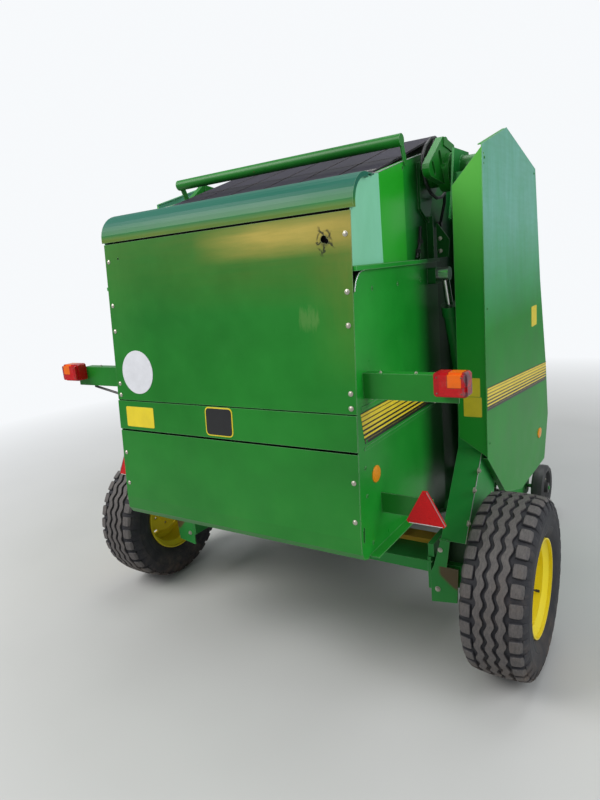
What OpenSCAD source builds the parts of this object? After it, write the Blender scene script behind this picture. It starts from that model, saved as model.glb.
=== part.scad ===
// Round baler with a variable bale chamber, standing on its wheels and its parking jack.
// Millimetres. +X is the machine's right, +Y the way it travels, +Z up.
// Inside the modules Y runs from the wheel axle; place() then centres the whole machine on Y.

/* [Main sizes] */
// Outer diameter of a tyre
tyre_d = 760; // [700:5:800]
// Width of a tyre
tyre_w = 264; // [230:2:280]
// Gap between a tyre and the frame's post
tyre_clear = 42; // [36:1:90]
// Height of the tail gate's upper seam
gate_top_z = 1942; // [1900:2:1960]
// Distance from the axle forward to the centre of the hitch eye
hitch_y = 3160; // [2900:10:3400]
// Height of the hitch eye's centre
hitch_z = 470; // [400:5:560]

/* [Chamber] */
// Clear width between the chamber's walls
chamber_w = 1180; // [1100:10:1300]
// Thickness of the frame's side walls
wall_t = 6; // [5:1:7]
// Thickness of the tail gate's sheets
sheet_t = 4; // [3:0.5:5]
// Number of belts side by side
belt_count = 6; // [4:1:8]
// Gap between two belts
belt_gap = 13; // [8:1:20]
// Thickness of a belt
belt_t = 8; // [5:1:10]
// Play that is left where the belts are split at the tail gate
belt_split = 8; // [6:1:14]

/* [Tail gate] */
// How far the tail gate's side sheets stand out past the frame's walls
gate_out = 42; // [36:1:48]
// Height of the seam between the upper panel and the band
band_top_z = 1222; // [1180:2:1260]
// Height of the seam between the band and the lower panel
band_bottom_z = 1083; // [1040:2:1120]
// How far the tail gate's shelf stands out past its side sheets
shelf_out = 14; // [8:1:18]
// Width of the flange along the side sheets' lower edge
foot_flange = 40; // [25:1:44]
// Depth of the bead of the rounded top cover
cover_r = 112; // [100:1:120]

/* [Hinge] */
// Distance from the axle forward to the tail gate's hinge
hinge_y = 360; // [355:1:370]
// Height of the tail gate's hinge
hinge_z = 2110; // [2100:1:2120]
// Diameter of the tube that the tail gate swings on
hinge_tube_d = 114; // [100:2:120]
// Radial clearance of a bore on its pin
pin_play = 0.05; // [0.03:0.01:0.08]

/* [Lamps] */
// How far a lamp's outer end stands out past the tail gate's side
lamp_out = 407; // [360:1:440]
// Height of the lamp arm's lower edge
lamp_z = 1270; // [1260:2:1290]
// Height of the lamp arm's channel
lamp_arm_h = 95; // [80:1:100]
// Side of a triangular reflector
triangle_side = 157; // [140:1:170]

/* [Shields] */
// Distance from the frame's wall out to the side shield's outer face
shield_out = 309; // [300:1:312]
// Width of the shield's turned-in flange
shield_flange = 126; // [100:2:128]

/* [Axle] */
// Depth of the axle beam, fore and aft
beam = 180; // [150:2:184]
// Height of the flat beam across the axle
beam_h = 50; // [46:1:60]
// Height of the axle beam's upper face
beam_top_z = 450; // [440:1:456]
// Diameter of a wheel spindle
spindle_d = 60; // [50:2:70]

/* [Frame] */
// Distance from the frame's wall out to the side rails
rail_out = 104; // [100:1:108]
// Distance from the frame's wall out to the posts
post_out = 166; // [160:1:172]
// Width of a post
post_w = 110; // [96:2:116]
// Depth of a post's flanges
post_deep = 64; // [50:1:80]

/* [Drive] */
// Pitch of the drive chain
chain_pitch = 25.4; // [25.4:0.1:26]
// Teeth of each of the chain's two sprockets
sprocket_teeth = 16; // [14:2:18]
// Pitches of chain between the two sprockets' centres
chain_run = 15; // [15:1:16]

/* [Pickup] */
// Gap between a side rail and the pickup's side plate
plate_gap = 9; // [6:0.5:12]
// Radius over the tips of the tines
tine_r = 235; // [225:1:240]
// Thickness of a tine
tine_t = 7; // [6:1:9]
// Number of tine bars round the reel
bar_count = 4; // [3:1:5]
// Distance between neighbouring tines
tine_pitch = 94; // [80:2:98]
// Play between a tine and the bands beside it
tine_play = 5; // [4:0.5:8]

/* [Parking jack] */
// Distance from the axle forward to the parking jack
jack_y = 2480; // [2400:10:2560]
// Diameter of the jack's outer tube
jack_d = 70; // [64:2:76]

/* [Hidden] */
$fn = 48;

green = [0.10, 0.46, 0.17];
dark_green = [0.07, 0.33, 0.13];
yellow = [0.92, 0.76, 0.13];
black = [0.07, 0.07, 0.08];
belt_colour = [0.13, 0.12, 0.15];
steel = [0.66, 0.67, 0.68];
red = [0.80, 0.06, 0.06];

// The rear face of the tail gate leans: [distance from the axle, height]
rear_top = [-479, gate_top_z];
rear_low = [-567, 749];
rear_lip = [-519, 651];
function rear_at(z) = rear_top[0]
    + (z - rear_top[1]) * (rear_low[0] - rear_top[0]) / (rear_low[1] - rear_top[1]);
rear_end_y = rear_low[0];
hitch_tip_y = hitch_y + 62;
mid_y = (rear_end_y + hitch_tip_y) / 2;
gap = 0.3;
tyre_r = tyre_d / 2;
wall_x = chamber_w / 2;
side_x = wall_x + wall_t;
gate_x = side_x + gate_out;
gate_w = 2 * gate_x;
recess_x = side_x + 6;
skin_x = gate_x - sheet_t;
split_y = 326;
tube_r = hinge_tube_d / 2;
belts_w = chamber_w - 42;
belt_w = (belts_w - (belt_count - 1) * belt_gap) / belt_count;

module place() {
    translate([0, -mid_y, 0]) children();
}

// Puts a flat shape drawn as [y, z] upright, from x to x + t
module upright(x, t) {
    translate([x, 0, 0]) rotate([90, 0, 90]) linear_extrude(t) children();
}

module bar_x(x0, x1, y, z, r) {
    translate([x0, y, z]) rotate([0, 90, 0]) cylinder(h = x1 - x0, r = r);
}

module block(lo, hi) {
    translate(lo) cube(hi - lo);
}

module both_sides() {
    children();
    mirror([1, 0, 0]) children();
}

function unit(v) = v / norm(v);
function turn(v) = [-v[1], v[0]];
function seg_normal(p, i) = turn(unit(p[i + 1] - p[i]));
function miter(p, i) =
    let (a = seg_normal(p, max(0, i - 1)), b = seg_normal(p, min(len(p) - 2, i)))
    (a + b) / (1 + a * b);
function shifted(p, t) = [for (i = [0 : len(p) - 1]) p[i] + t * miter(p, i)];
function reversed(p) = [for (i = [len(p) - 1 : -1 : 0]) p[i]];
function arc(c, r, a0, a1, n = 8) =
    [for (i = [0 : n]) let (a = a0 + (a1 - a0) * i / n) c + r * [cos(a), sin(a)]];

// A sheet of thickness t that follows the open line p, on its left side
module ribbon(p, t) {
    polygon(concat(p, reversed(shifted(p, t))));
}

// A straight box beam from point a to point b
module beam_between(a, b, w, h) {
    v = b - a;
    yaw = atan2(v[1], v[0]);
    pitch = -atan2(v[2], norm([v[0], v[1]]));
    translate(a) rotate([0, pitch, yaw]) translate([0, -w / 2, -h / 2]) cube([norm(v), w, h]);
}

module rod_between(a, b, r) {
    v = b - a;
    translate(a) rotate([0, acos(v[2] / norm(v)), atan2(v[1], v[0])]) cylinder(h = norm(v), r = r);
}

// A bar with round ends from a to b, drawn flat
module oblong(a, b, r) {
    v = b - a;
    translate(a) circle(r);
    translate(b) circle(r);
    translate(a) rotate(atan2(v[1], v[0])) translate([0, -r]) square([norm(v), 2 * r]);
}

// A long hole from a to b with flat-faced ends, drawn flat
module slot(a, b, r) {
    t = atan2(b[1] - a[1], b[0] - a[0]);
    polygon(concat(arc(a, r, t + 90, t + 270, 4), arc(b, r, t - 90, t + 90, 4)));
}

// A flat rectangle with round corners
module rounded(lo, hi, r) {
    translate([lo[0] + r, lo[1]]) square([hi[0] - lo[0] - 2 * r, hi[1] - lo[1]]);
    translate([lo[0], lo[1] + r]) square([hi[0] - lo[0], hi[1] - lo[1] - 2 * r]);
    for (x = [lo[0] + r, hi[0] - r], y = [lo[1] + r, hi[1] - r]) translate([x, y]) circle(r);
}

// A round hose through the points p
module hose(p, r) {
    for (i = [0 : len(p) - 2]) rod_between(p[i], p[i + 1], r);
    for (i = [1 : len(p) - 2]) translate(p[i]) sphere(r + 0.2);
}

// Wheels

rim_r = 206;
rim_w = tyre_w - 34;
hub_r = 52;
post_x = side_x + post_out;
wheel_x = post_x + post_w + tyre_clear + tyre_w / 2;
rail_x = side_x + rail_out;
arm_in_x = rail_x;
spindle_end = wheel_x + 46;

// Tyre section as [radius, distance from the tyre's middle], outside first
function tyre_profile() = [
    [rim_r, -tyre_w * 0.40], [rim_r + 26, -tyre_w * 0.46], [rim_r + 80, -tyre_w * 0.50],
    [tyre_r - 46, -tyre_w * 0.488], [tyre_r - 14, -tyre_w * 0.43], [tyre_r - 4, -tyre_w * 0.32],
    [tyre_r, 0],
    [tyre_r - 4, tyre_w * 0.32], [tyre_r - 14, tyre_w * 0.43], [tyre_r - 46, tyre_w * 0.488],
    [rim_r + 80, tyre_w * 0.50], [rim_r + 26, tyre_w * 0.46], [rim_r, tyre_w * 0.40]];

module tyre() {
    color(black) translate([wheel_x, 0, tyre_r]) rotate([0, 90, 0])
        rotate_extrude($fn = 72) polygon(tyre_profile());
}

// Half section of the rim, open to both sides, as [radius, distance outwards]
module rim() {
    well = rim_r - 26;
    t = 6;
    bore = spindle_d / 2 + pin_play;
    color(yellow) translate([wheel_x, 0, tyre_r]) rotate([0, 90, 0]) difference() {
        rotate_extrude($fn = 72) polygon([
            [bore, -60], [hub_r, -60], [hub_r, -6], [well - 60, -6], [well - 34, 14],
            [well - t, 14], [well - t, -rim_w / 2 + 34], [rim_r - t, -rim_w / 2 + 14],
            [rim_r - t, -rim_w / 2], [rim_r - gap, -rim_w / 2], [rim_r - gap, -rim_w / 2 + 12],
            [well, -rim_w / 2 + 32], [well, rim_w / 2 - 32], [rim_r - gap, rim_w / 2 - 12],
            [rim_r - gap, rim_w / 2], [rim_r - t, rim_w / 2], [rim_r - t, rim_w / 2 - 14],
            [well - t, rim_w / 2 - 34], [well - t, 22], [well - 38, 22], [well - 62, 2],
            [hub_r, 2], [hub_r, 42], [bore, 42]]);
        for (i = [0 : 4]) rotate([0, 0, i * 72]) translate([hub_r + 26, 0, -40])
            cylinder(h = 80, r = 9);
        for (i = [0 : 4]) rotate([0, 0, i * 72 + 36]) translate([well - 48, 0, -40])
            cylinder(h = 80, r = 11);
    }
}

// Frame

module axle_beam() {
    color(green) block([-arm_in_x, -beam / 2, beam_top_z - beam_h],
        [arm_in_x, beam / 2, beam_top_z]);
}

bracket_t = 14;
bracket_z = tyre_r - 60;
post_foot_z = 560;
foot_z = 436;
module axle_arm() {
    back_y = post_line[0][0];
    upright(arm_in_x, bracket_t) polygon([[-beam / 2, rail_z], [-beam / 2, bracket_z],
        [beam / 2 + 10, bracket_z], [beam / 2 + 10, rail_z]]);
    block([arm_in_x + bracket_t, -52, tyre_r - 52], [wheel_x - 170, 52, tyre_r + 52]);
    bar_x(wheel_x - 170, spindle_end, 0, tyre_r, spindle_d / 2);
    bar_x(wheel_x - 170, wheel_x - 64, 0, tyre_r, spindle_d / 2 + 12);
    translate([0, back_y, 0]) rotate([90, 0, 0]) linear_extrude(post_t)
        polygon([[post_x - 50, 258], [post_x - 50, foot_z - 36], [post_x - 34, foot_z],
            [post_x, post_foot_z], [post_x + 42, post_foot_z], [post_x + 24, foot_z],
            [post_x + 75, foot_z], [post_x + 66, 275]]);
    block([post_x, back_y, tyre_r + 52], [post_x + post_t, back_y + post_deep, post_foot_z]);
}

module axle_arms() {
    color(green) both_sides() axle_arm();
}

module yellow_bar() {
    color(yellow) block([-side_x - 84, beam / 2 - 22, beam_top_z],
        [side_x + 84, beam / 2 + 58, beam_top_z + 22]);
}

rail_z = beam_top_z + 20;
rail_t = 26;
rail_lo = [rail_x, -80, rail_z];
rail_hi = [rail_x + rail_t, 1090, rail_z + 60];
module side_rails() {
    color(green) both_sides() {
        block(rail_lo, rail_hi);
        difference() {
            block([rail_lo[0], 1015, rail_hi[2]], [rail_lo[0] + 8, 1090, 700]);
            bar_x(rail_lo[0] - 1, rail_lo[0] + 9, pickup_pivot[0], pickup_pivot[1],
                pivot_r + pin_play);
        }
    }
}

// Outline of a frame side wall as [y, z], from the lower rear corner on
wall_low_z = 500;
wall_back = [[335, wall_low_z], [335, 2150], [470, 2226], [640, 2240], [1010, 2120], [1085, 1600],
    [1190, 1085]];
wall_nose = [[1340, 1060], [1340, 830], [1230, 800], [1090, 700], [1090, wall_low_z]];
function drive_nose() = [[lower[0] + 200, lower[1] + 75], [cross_y + 52, lower[1] + 62],
    [cross_y + 52, lower[1] - 62], [1340, 830], [1230, 800], [1090, 700], [1090, wall_low_z]];
module frame_wall(nose) {
    difference() {
        union() {
            upright(wall_x, wall_t) polygon(concat(wall_back, nose));
            block([side_x, 335, wall_low_z], [rail_lo[0], 1090, wall_low_z + wall_t]);
            for (r = frame_roller_table) bar_x(side_x, side_x + 22, r[0], r[1], 44);
            upright(side_x, 40) polygon([[680, wall_low_z + wall_t], [680, 2200], [688, 2200],
                [688, wall_low_z + wall_t]]);
            upright(side_x, 40) polygon([[742, wall_low_z + wall_t], [742, 2180], [750, 2180],
                [750, wall_low_z + wall_t]]);
            upright(side_x + 34, wall_t) polygon([[680, wall_low_z + wall_t], [680, 2200],
                [750, 2180], [750, wall_low_z + wall_t]]);
        }
        bar_x(wall_x - 1, side_x + 1, hinge_y, hinge_z, tube_r + gap);
        bar_x(wall_x - 1, side_x + 1, cross_y, gear_z, cross_r + gap);
        for (r = frame_roller_table)
            bar_x(wall_x - 1, side_x + 30, r[0], r[1], shaft_r + gap);
    }
}

// Brackets outside the walls: the pins of the shields' hinges and of the gate cylinders
module frame_brackets() {
    color(green) both_sides() {
        bar_x(side_x, lift_x + 45, lift_foot[0], lift_foot[1], lift_pin_r);
        bar_x(side_x, lift_x - 24 - gap, lift_foot[0], lift_foot[1], lift_pin_r + 12);
        for (h = shield_hinges) {
            block([side_x, wall_front(h[1]) - 70, h[1] - 58],
                [hinge_x - 14, wall_front(h[1]), h[1] - 34]);
            block([hinge_x - 42, wall_front(h[1]) - 20, h[1] - 57],
                [hinge_x - 16, h[0] + 12, h[1] - 35]);
            at_hinge(h) {
                translate([-34, -12, -42]) cube([43, 24, 16]);
                translate([0, 0, -30]) cylinder(h = 62, r = shield_pin_r);
            }
        }
    }
}

// The post follows the machine's side as [y, z]: up from the axle, forward, then up
post_t = 8;
post_line = [[-84, post_foot_z], [180, 900], [240, 2090]];
hinge_plate_z = hinge_z - 210;
module frame_posts() {
    color(green) both_sides() {
        difference() {
            union() {
                upright(post_x, post_w) ribbon(post_line, -post_t);
                for (x = [post_x, post_x + post_w - post_t])
                    upright(x, post_t) ribbon(shifted(post_line, -post_t), post_t - post_deep);
                upright(post_x + post_w - post_t, post_t) polygon([post_line[0], post_line[1],
                    [184, 980], [420, 980], [330, post_foot_z]]);
            }
            block([0, -400, 0], [2000, 900, post_foot_z]);
        }
        difference() {
            upright(post_x - post_t, post_t) polygon([[180, hinge_plate_z], [246, hinge_z + 80],
                [hinge_y + 80, hinge_z + 80], [hinge_y + 80, hinge_z - 70], [300, hinge_plate_z]]);
            bar_x(post_x - 20, post_x + 20, hinge_y, hinge_z, tube_r + gap);
        }
    }
}

module top_tube() {
    reach = post_x + post_w - 2;
    color(green) difference() {
        bar_x(-reach, reach, hinge_y, hinge_z, tube_r);
        both_sides() bar_x(reach - 60, reach + 1, hinge_y, hinge_z, tube_r - 8);
    }
}

lever_x = side_x + 72;
lever_t = 30;
module tension_arms() {
    color(green) both_sides() difference() {
        union() {
            upright(lever_x, lever_t) polygon(concat(arc([hinge_y, hinge_z], tube_r + 20, -60, 60),
                arc([hinge_y - 60, hinge_z + 115], 26, 60, 130, 4),
                arc([hinge_y - 210, hinge_z], 34, 150, 250, 6)));
            upright(lever_x - 6, lever_t + 12) polygon([[hinge_y - 70, hinge_z + 104],
                [hinge_y - 62, hinge_z + 138], [hinge_y + 60, hinge_z + 118],
                [hinge_y + 66, hinge_z + 84]]);
            bar_x(lever_x, lever_x + lever_t + 24, hinge_y, hinge_z, tube_r + 24);
        }
        bar_x(lever_x - 9, lever_x + 80, hinge_y, hinge_z, tube_r + gap);
        upright(lever_x - 9, lever_t + 18) slot([hinge_y - 115, hinge_z + 66],
            [hinge_y - 88, hinge_z + 20], 15);
        upright(lever_x - 9, lever_t + 18) slot([hinge_y - 200, hinge_z + 20],
            [hinge_y - 176, hinge_z - 16], 11);
    }
}

front_line = [[790, 2188], [1002, 2114], [1077, 1600], [1182, 1088], [1182, 905]];
function front_at(z) = front_line[2][0] + (z - front_line[2][1])
    * (front_line[3][0] - front_line[2][0]) / (front_line[3][1] - front_line[2][1]);
module front_panel() {
    color(green) upright(-wall_x + gap, chamber_w - 2 * gap) ribbon(front_line, -sheet_t);
}

beam_back = 1190;
beam_front = 1290;
beam_low = 810;
beam_high = 900;
module front_beam() {
    color(green) block([-wall_x + gap, beam_back, beam_low],
        [wall_x - gap, beam_front, beam_high]);
}

// Rollers as [distance from the axle, height, radius]
shaft_r = 20;
frame_roller_table = [[560, 2252, 48], [930, 1985, 48], [1010, 1010, 48], [975, 640, 100]];
gate_roller_table = [[-400, 1955, 48], [-440, 760, 48], [235, 668, 48]];
apex = frame_roller_table[0];
upper = frame_roller_table[1];
lower = frame_roller_table[2];
tail_top = gate_roller_table[0];
tail_low = gate_roller_table[1];
tail_foot = gate_roller_table[2];

module rollers(table, shaft_reach) {
    for (r = table) {
        bar_x(-belts_w / 2 - 6, belts_w / 2 + 6, r[0], r[1], r[2] - gap);
        bar_x(-shaft_reach, shaft_reach, r[0], r[1], shaft_r);
    }
}

module frame_rollers() {
    color(steel) {
        rollers(frame_roller_table, side_x + 14);
        bar_x(side_x, chain_x + 20, lower[0], lower[1], shaft_r);
    }
}

module gate_rollers() {
    color(steel) rollers(gate_roller_table, skin_x - gap);
}

// The line of a belt round the outside of the rollers a and b, and where it is split
function outer_normal(a, b) = -turn(unit([b[0] - a[0], b[1] - a[1]]));
function heading(v) = atan2(v[1], v[0]);
function around(prev, r, next) =
    let (a0 = heading(outer_normal(prev, r)), a1 = heading(outer_normal(r, next)),
        a2 = a1 < a0 - 0.01 ? a1 + 360 : a1)
    arc([r[0], r[1]], r[2], a0, a2, max(2, ceil((a2 - a0) / 10)));
function leave(r, next) = [r[0], r[1]] + r[2] * outer_normal(r, next);
function on_line(p, q, y) = [y, p[1] + (q[1] - p[1]) * (y - p[0]) / (q[0] - p[0])];

belt_top_y = 113;
belt_low_y = 322;
top_a = leave(apex, tail_top);
top_b = [tail_top[0], tail_top[1]] + tail_top[2] * outer_normal(apex, tail_top);
low_a = leave(tail_foot, lower);
low_b = [lower[0], lower[1]] + lower[2] * outer_normal(tail_foot, lower);

module belts(line) {
    color(belt_colour) for (i = [0 : belt_count - 1])
        translate([-belts_w / 2 + i * (belt_w + belt_gap), 0, 0]) upright(0, belt_w)
            ribbon(line, -belt_t);
}

module frame_belts() {
    belts(concat([on_line(low_a, low_b, belt_low_y + belt_split)],
        around(tail_foot, lower, upper), around(lower, upper, apex),
        around(upper, apex, tail_top), [on_line(top_a, top_b, belt_top_y + belt_split)]));
}

module gate_belts() {
    belts(concat([on_line(top_a, top_b, belt_top_y)], around(apex, tail_top, tail_low),
        around(tail_top, tail_low, tail_foot), around(tail_low, tail_foot, lower),
        [on_line(low_a, low_b, belt_low_y)]));
}

eye_r = 26;
hook_y = 2620;
tongue_w = 120;
function drive_under(y) = drive_back[2] - 52
    + (y - drive_back[1]) * (drive_front[2] - drive_back[2]) / (drive_front[1] - drive_back[1]);
module drawbar() {
    tongue_back = [0, 1960, 800];
    tongue_tip = [0, hitch_y - 150, hitch_z + 20];
    color(green) {
        difference() {
            union() {
                both_sides() beam_between([430, 1250, 855], tongue_back, 90, 80);
                beam_between([0, 1860, 810], tongue_tip, tongue_w, 110);
                translate([0, 0, 848]) linear_extrude(10) polygon([[-160, 1760], [160, 1760],
                    [tongue_w / 2, 1960], [-tongue_w / 2, 1960]]);
                block([-50, hitch_y - 190, hitch_z - 40], [50, hitch_y - 40, hitch_z + 60]);
                block([-8, hook_y - 6, 600], [8, hook_y + 6, drive_under(hook_y) - 5]);
                translate([0, hook_y, 0]) rotate([90, 0, 0]) linear_extrude(12, center = true)
                    difference() {
                        translate([0, drive_under(hook_y) + 52]) circle(62);
                        translate([0, drive_under(hook_y) + 52]) circle(52);
                        translate([-80, drive_under(hook_y) + 40]) square([160, 80]);
                    }
            }
            block([-800, 1100, 700], [800, beam_front, 1000]);
        }
    }
    color(steel) difference() {
        union() {
            translate([0, hitch_y, hitch_z - 16]) cylinder(h = 32, r = 62);
            block([-42, hitch_y - 60, hitch_z - 16], [42, hitch_y - 30, hitch_z + 16]);
        }
        translate([0, hitch_y, hitch_z - 20]) cylinder(h = 40, r = eye_r);
    }
}

// The gearbox, its cross shaft to the right and the chain to the lower roller
cross_r = 32;
cross_y = lower[0] + chain_run * chain_pitch;
gear_z = lower[1];
gear_y = cross_y + 60;
chain_x = side_x + 58;
module gearbox() {
    color(green) {
        block([-110, gear_y - 100, gear_z - 105], [110, gear_y + 70, gear_z + 95]);
        translate([0, gear_y + 70, gear_z]) rotate([-90, 0, 0]) cylinder(h = 24, r = 78);
        bar_x(-130, 130, cross_y, gear_z, 70);
        bar_x(110, side_x + 14, cross_y, gear_z, cross_r);
        block([-120, beam_front, 830], [120, gear_y + 60, gear_z - 105]);
    }
    color(steel) {
        translate([0, gear_y + 90, gear_z]) rotate([-90, 0, 0]) cylinder(h = 60, r = 30);
        bar_x(side_x, chain_x + 20, cross_y, gear_z, shaft_r);
    }
}

// Roller chain: the pitch circle is taken along its arc, so each roller falls into a gap
chain_r = chain_pitch * sprocket_teeth / (2 * PI);
roller_r = 7.9;
half_turn = sprocket_teeth / 2;
function chain_pin(k) =
    k <= chain_run ? [lower[0] + k * chain_pitch, lower[1] + chain_r]
    : k <= chain_run + half_turn
        ? [cross_y, lower[1]] + chain_r * turned(90 - (k - chain_run) * 360 / sprocket_teeth)
    : k <= 2 * chain_run + half_turn
        ? [cross_y - (k - chain_run - half_turn) * chain_pitch, lower[1] - chain_r]
    : [lower[0], lower[1]]
        + chain_r * turned(270 - (k - 2 * chain_run - half_turn) * 360 / sprocket_teeth);
function turned(a) = [cos(a), sin(a)];
chain_links = 2 * chain_run + sprocket_teeth;

module sprocket(y) {
    upright(chain_x - 6, 12) translate([y, lower[1]]) difference() {
        circle(chain_r + 7);
        for (i = [0 : sprocket_teeth - 1])
            translate(chain_r * turned(90 - i * 360 / sprocket_teeth)) circle(roller_r + 0.5);
        circle(shaft_r + gap);
    }
    upright(chain_x - 16, 10) translate([y, lower[1]]) difference() {
        circle(shaft_r + 14);
        circle(shaft_r + gap);
    }
}

module chain_plate(a, b, x) {
    v = unit(b - a);
    n = turn(v);
    upright(x, 2.5) polygon([a - 9 * v, a - 4 * v + 10 * n, b + 4 * v + 10 * n, b + 9 * v,
        b + 4 * v - 10 * n, a - 4 * v - 10 * n]);
}

module drive_chain() {
    color(steel) {
        sprocket(lower[0]);
        sprocket(cross_y);
        for (k = [0 : chain_links - 1]) {
            a = chain_pin(k);
            side = k % 2 == 0 ? 7 : 9.5;
            chain_plate(a, chain_pin((k + 1) % chain_links), chain_x + side);
            chain_plate(a, chain_pin((k + 1) % chain_links), chain_x - side - 2.5);
            translate([chain_x - 12, a[0], a[1]]) rotate([0, 90, 0])
                cylinder(h = 24, r = roller_r - 2.5, $fn = 8);
        }
    }
}

pto_r = 17.5;
pto_l = 80;
drive_back = [0, gear_y + 157, gear_z];
drive_front = [0, 2860, 760];
module driveline() {
    v = drive_front - drive_back;
    color(black) {
        rod_between(drive_back + 0.06 * v, drive_back + 0.55 * v, 42);
        rod_between(drive_back + 0.54 * v, drive_back + 0.93 * v, 36);
    }
    color(steel) {
        rod_between(drive_back, drive_back + 0.06 * v, 34);
        difference() {
            rod_between(drive_back + 0.93 * v, drive_front, 34);
            rod_between(drive_front - pto_l * unit(v), drive_front + 10 * unit(v), pto_r);
        }
    }
}

box_lo = [-560, 1230, 1260];
box_hi = [560, 1520, 1640];
lid_pivot = [1220, 1650];
lid_pin_r = 4;
module twine_box() {
    color(green) {
        difference() {
            block(box_lo, box_hi);
            block(box_lo + [sheet_t, sheet_t, sheet_t], box_hi - [sheet_t, sheet_t, -1]);
        }
        both_sides() {
            upright(500, 40) polygon([[front_at(1300) + gap, 1300], [box_lo[1], 1300],
                [box_lo[1], 1400], [front_at(1400) + gap, 1400]]);
            for (x = [420, 512]) block([x, lid_pivot[0] - 9, box_hi[2] - 40],
                [x + 8, box_lo[1] + 1, lid_pivot[1] + 9]);
            bar_x(420, 520, lid_pivot[0], lid_pivot[1], lid_pin_r);
        }
    }
}

module twine_lid() {
    color(green) {
        block([box_lo[0] - 6, box_lo[1] + 6, box_hi[2] + gap],
            [box_hi[0] + 6, box_hi[1] + 12, box_hi[2] + gap + sheet_t]);
        block([box_lo[0] - 6, box_hi[1] + 12 - sheet_t, box_hi[2] - 30],
            [box_hi[0] + 6, box_hi[1] + 12, box_hi[2] + gap + 1]);
        both_sides() difference() {
            union() {
                bar_x(434, 506, lid_pivot[0], lid_pivot[1], 9);
                block([434, lid_pivot[0], box_hi[2] + gap + 1],
                    [506, box_lo[1] + 40, lid_pivot[1] + 2]);
            }
            bar_x(430, 510, lid_pivot[0], lid_pivot[1], lid_pin_r + pin_play);
        }
    }
}

jack_x = 150;
jack_top = 820;
module jack_tube() {
    color(green) {
        difference() {
            translate([jack_x, jack_y, 260]) cylinder(h = jack_top - 260, d = jack_d);
            translate([jack_x, jack_y, 250]) cylinder(h = 540, d = jack_d - 12);
        }
        block([tongue_w / 2 + gap, jack_y - 35, 560], [jack_x - jack_d / 2 + 2, jack_y + 35, 680]);
        translate([jack_x, jack_y, jack_top]) cylinder(h = 34, d = jack_d + 14);
        translate([jack_x, jack_y, jack_top + 34]) cylinder(h = 18, d = 22);
    }
    color(steel) {
        rod_between([jack_x, jack_y, jack_top + 46], [jack_x + 150, jack_y, jack_top + 46], 7);
        translate([jack_x + 146, jack_y, jack_top + 42]) cylinder(h = 90, r = 7);
        translate([jack_x + 146, jack_y, jack_top + 62]) cylinder(h = 72, r = 13);
    }
}

module jack_leg() {
    color(steel) {
        translate([jack_x, jack_y, 12]) cylinder(h = 460, d = jack_d - 12 - 2 * gap);
        translate([jack_x, jack_y, 0]) cylinder(h = 12, r = 90);
        translate([jack_x, jack_y, 11]) cylinder(h = 22, d = jack_d + 6);
    }
}

// Hose that loops round the right lever; its ends sit on the frame's wall
loop_x = side_x + 51;
loop_r = 7;
loop_path = [[side_x + 9, 480, 1900], [loop_x - 12, 462, 1990], [loop_x, 440, 2035],
    [loop_x, 395, 2012], [loop_x, 330, 2006], [loop_x, 262, 2024], [loop_x, 205, 2062],
    [loop_x, 172, 2112], [loop_x, 180, 2170], [loop_x, 222, 2214], [loop_x, 280, 2250],
    [loop_x - 4, 345, 2262], [loop_x - 14, 415, 2238], [side_x + 9, 455, 2180]];
module hose_loop() {
    color(black) hose(loop_path, loop_r);
    color(steel) {
        bar_x(side_x + gap, side_x + 18, loop_path[0][1], loop_path[0][2], 13);
        bar_x(side_x + gap, side_x + 18, loop_path[13][1], loop_path[13][2], 13);
    }
}

// Tail gate

bend_y = -240;
fold_y = 65;
shelf_z = 1735;
shelf_t = 16;
skin_t = shelf_z - 6;
gate_foot = [300, 530];
gate_low_line = [[rear_lip[0] + 12, rear_lip[1] + 8], [-150, 660], gate_foot];
corner_r = 84;
seam = 8;
inner_y = sheet_t + gap;
lip_line = [[-430, rear_lip[1] + 4], rear_lip, [-548, 662], [-566, 690], rear_low,
    [rear_at(band_bottom_z - seam), band_bottom_z - seam]];
lip_inside = shifted(lip_line, -inner_y);
function skin_outline() = concat([[rear_at(skin_t - corner_r) + inner_y, skin_t - corner_r],
    lip_inside[4], lip_inside[3], lip_inside[2], lip_inside[1]], gate_low_line,
    [[split_y, 560], [split_y, skin_t + 1]],
    arc([rear_at(skin_t) + inner_y + corner_r, skin_t - corner_r + 1], corner_r, 90, 172, 8));
crown_top = [[-296, 2066], [bend_y, 2074], [72, 2146], [270, 2192]];
cover_mid = [rear_top[0] + cover_r, rear_top[1] + 12];
cover_end = [-300, 2062];
function crown_outline() = concat([[rear_at(shelf_z + shelf_t - 6) + inner_y + 0.1,
    shelf_z + shelf_t - 6],
    [rear_top[0] + inner_y, rear_top[1]]], arc(cover_mid, cover_r - inner_y - 0.3, 172, 84, 6),
    [cover_end + [1, -inner_y - 3]], crown_top, [[270, 2050],
    [split_y - 20, 1950], [split_y - 20, shelf_z + shelf_t - 6]]);
crown_line = [[gate_x, -620], [gate_x, bend_y], [recess_x + sheet_t, fold_y],
    [recess_x + sheet_t, 400]];
ridge_r = 7;
ridge_t = 3;

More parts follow.
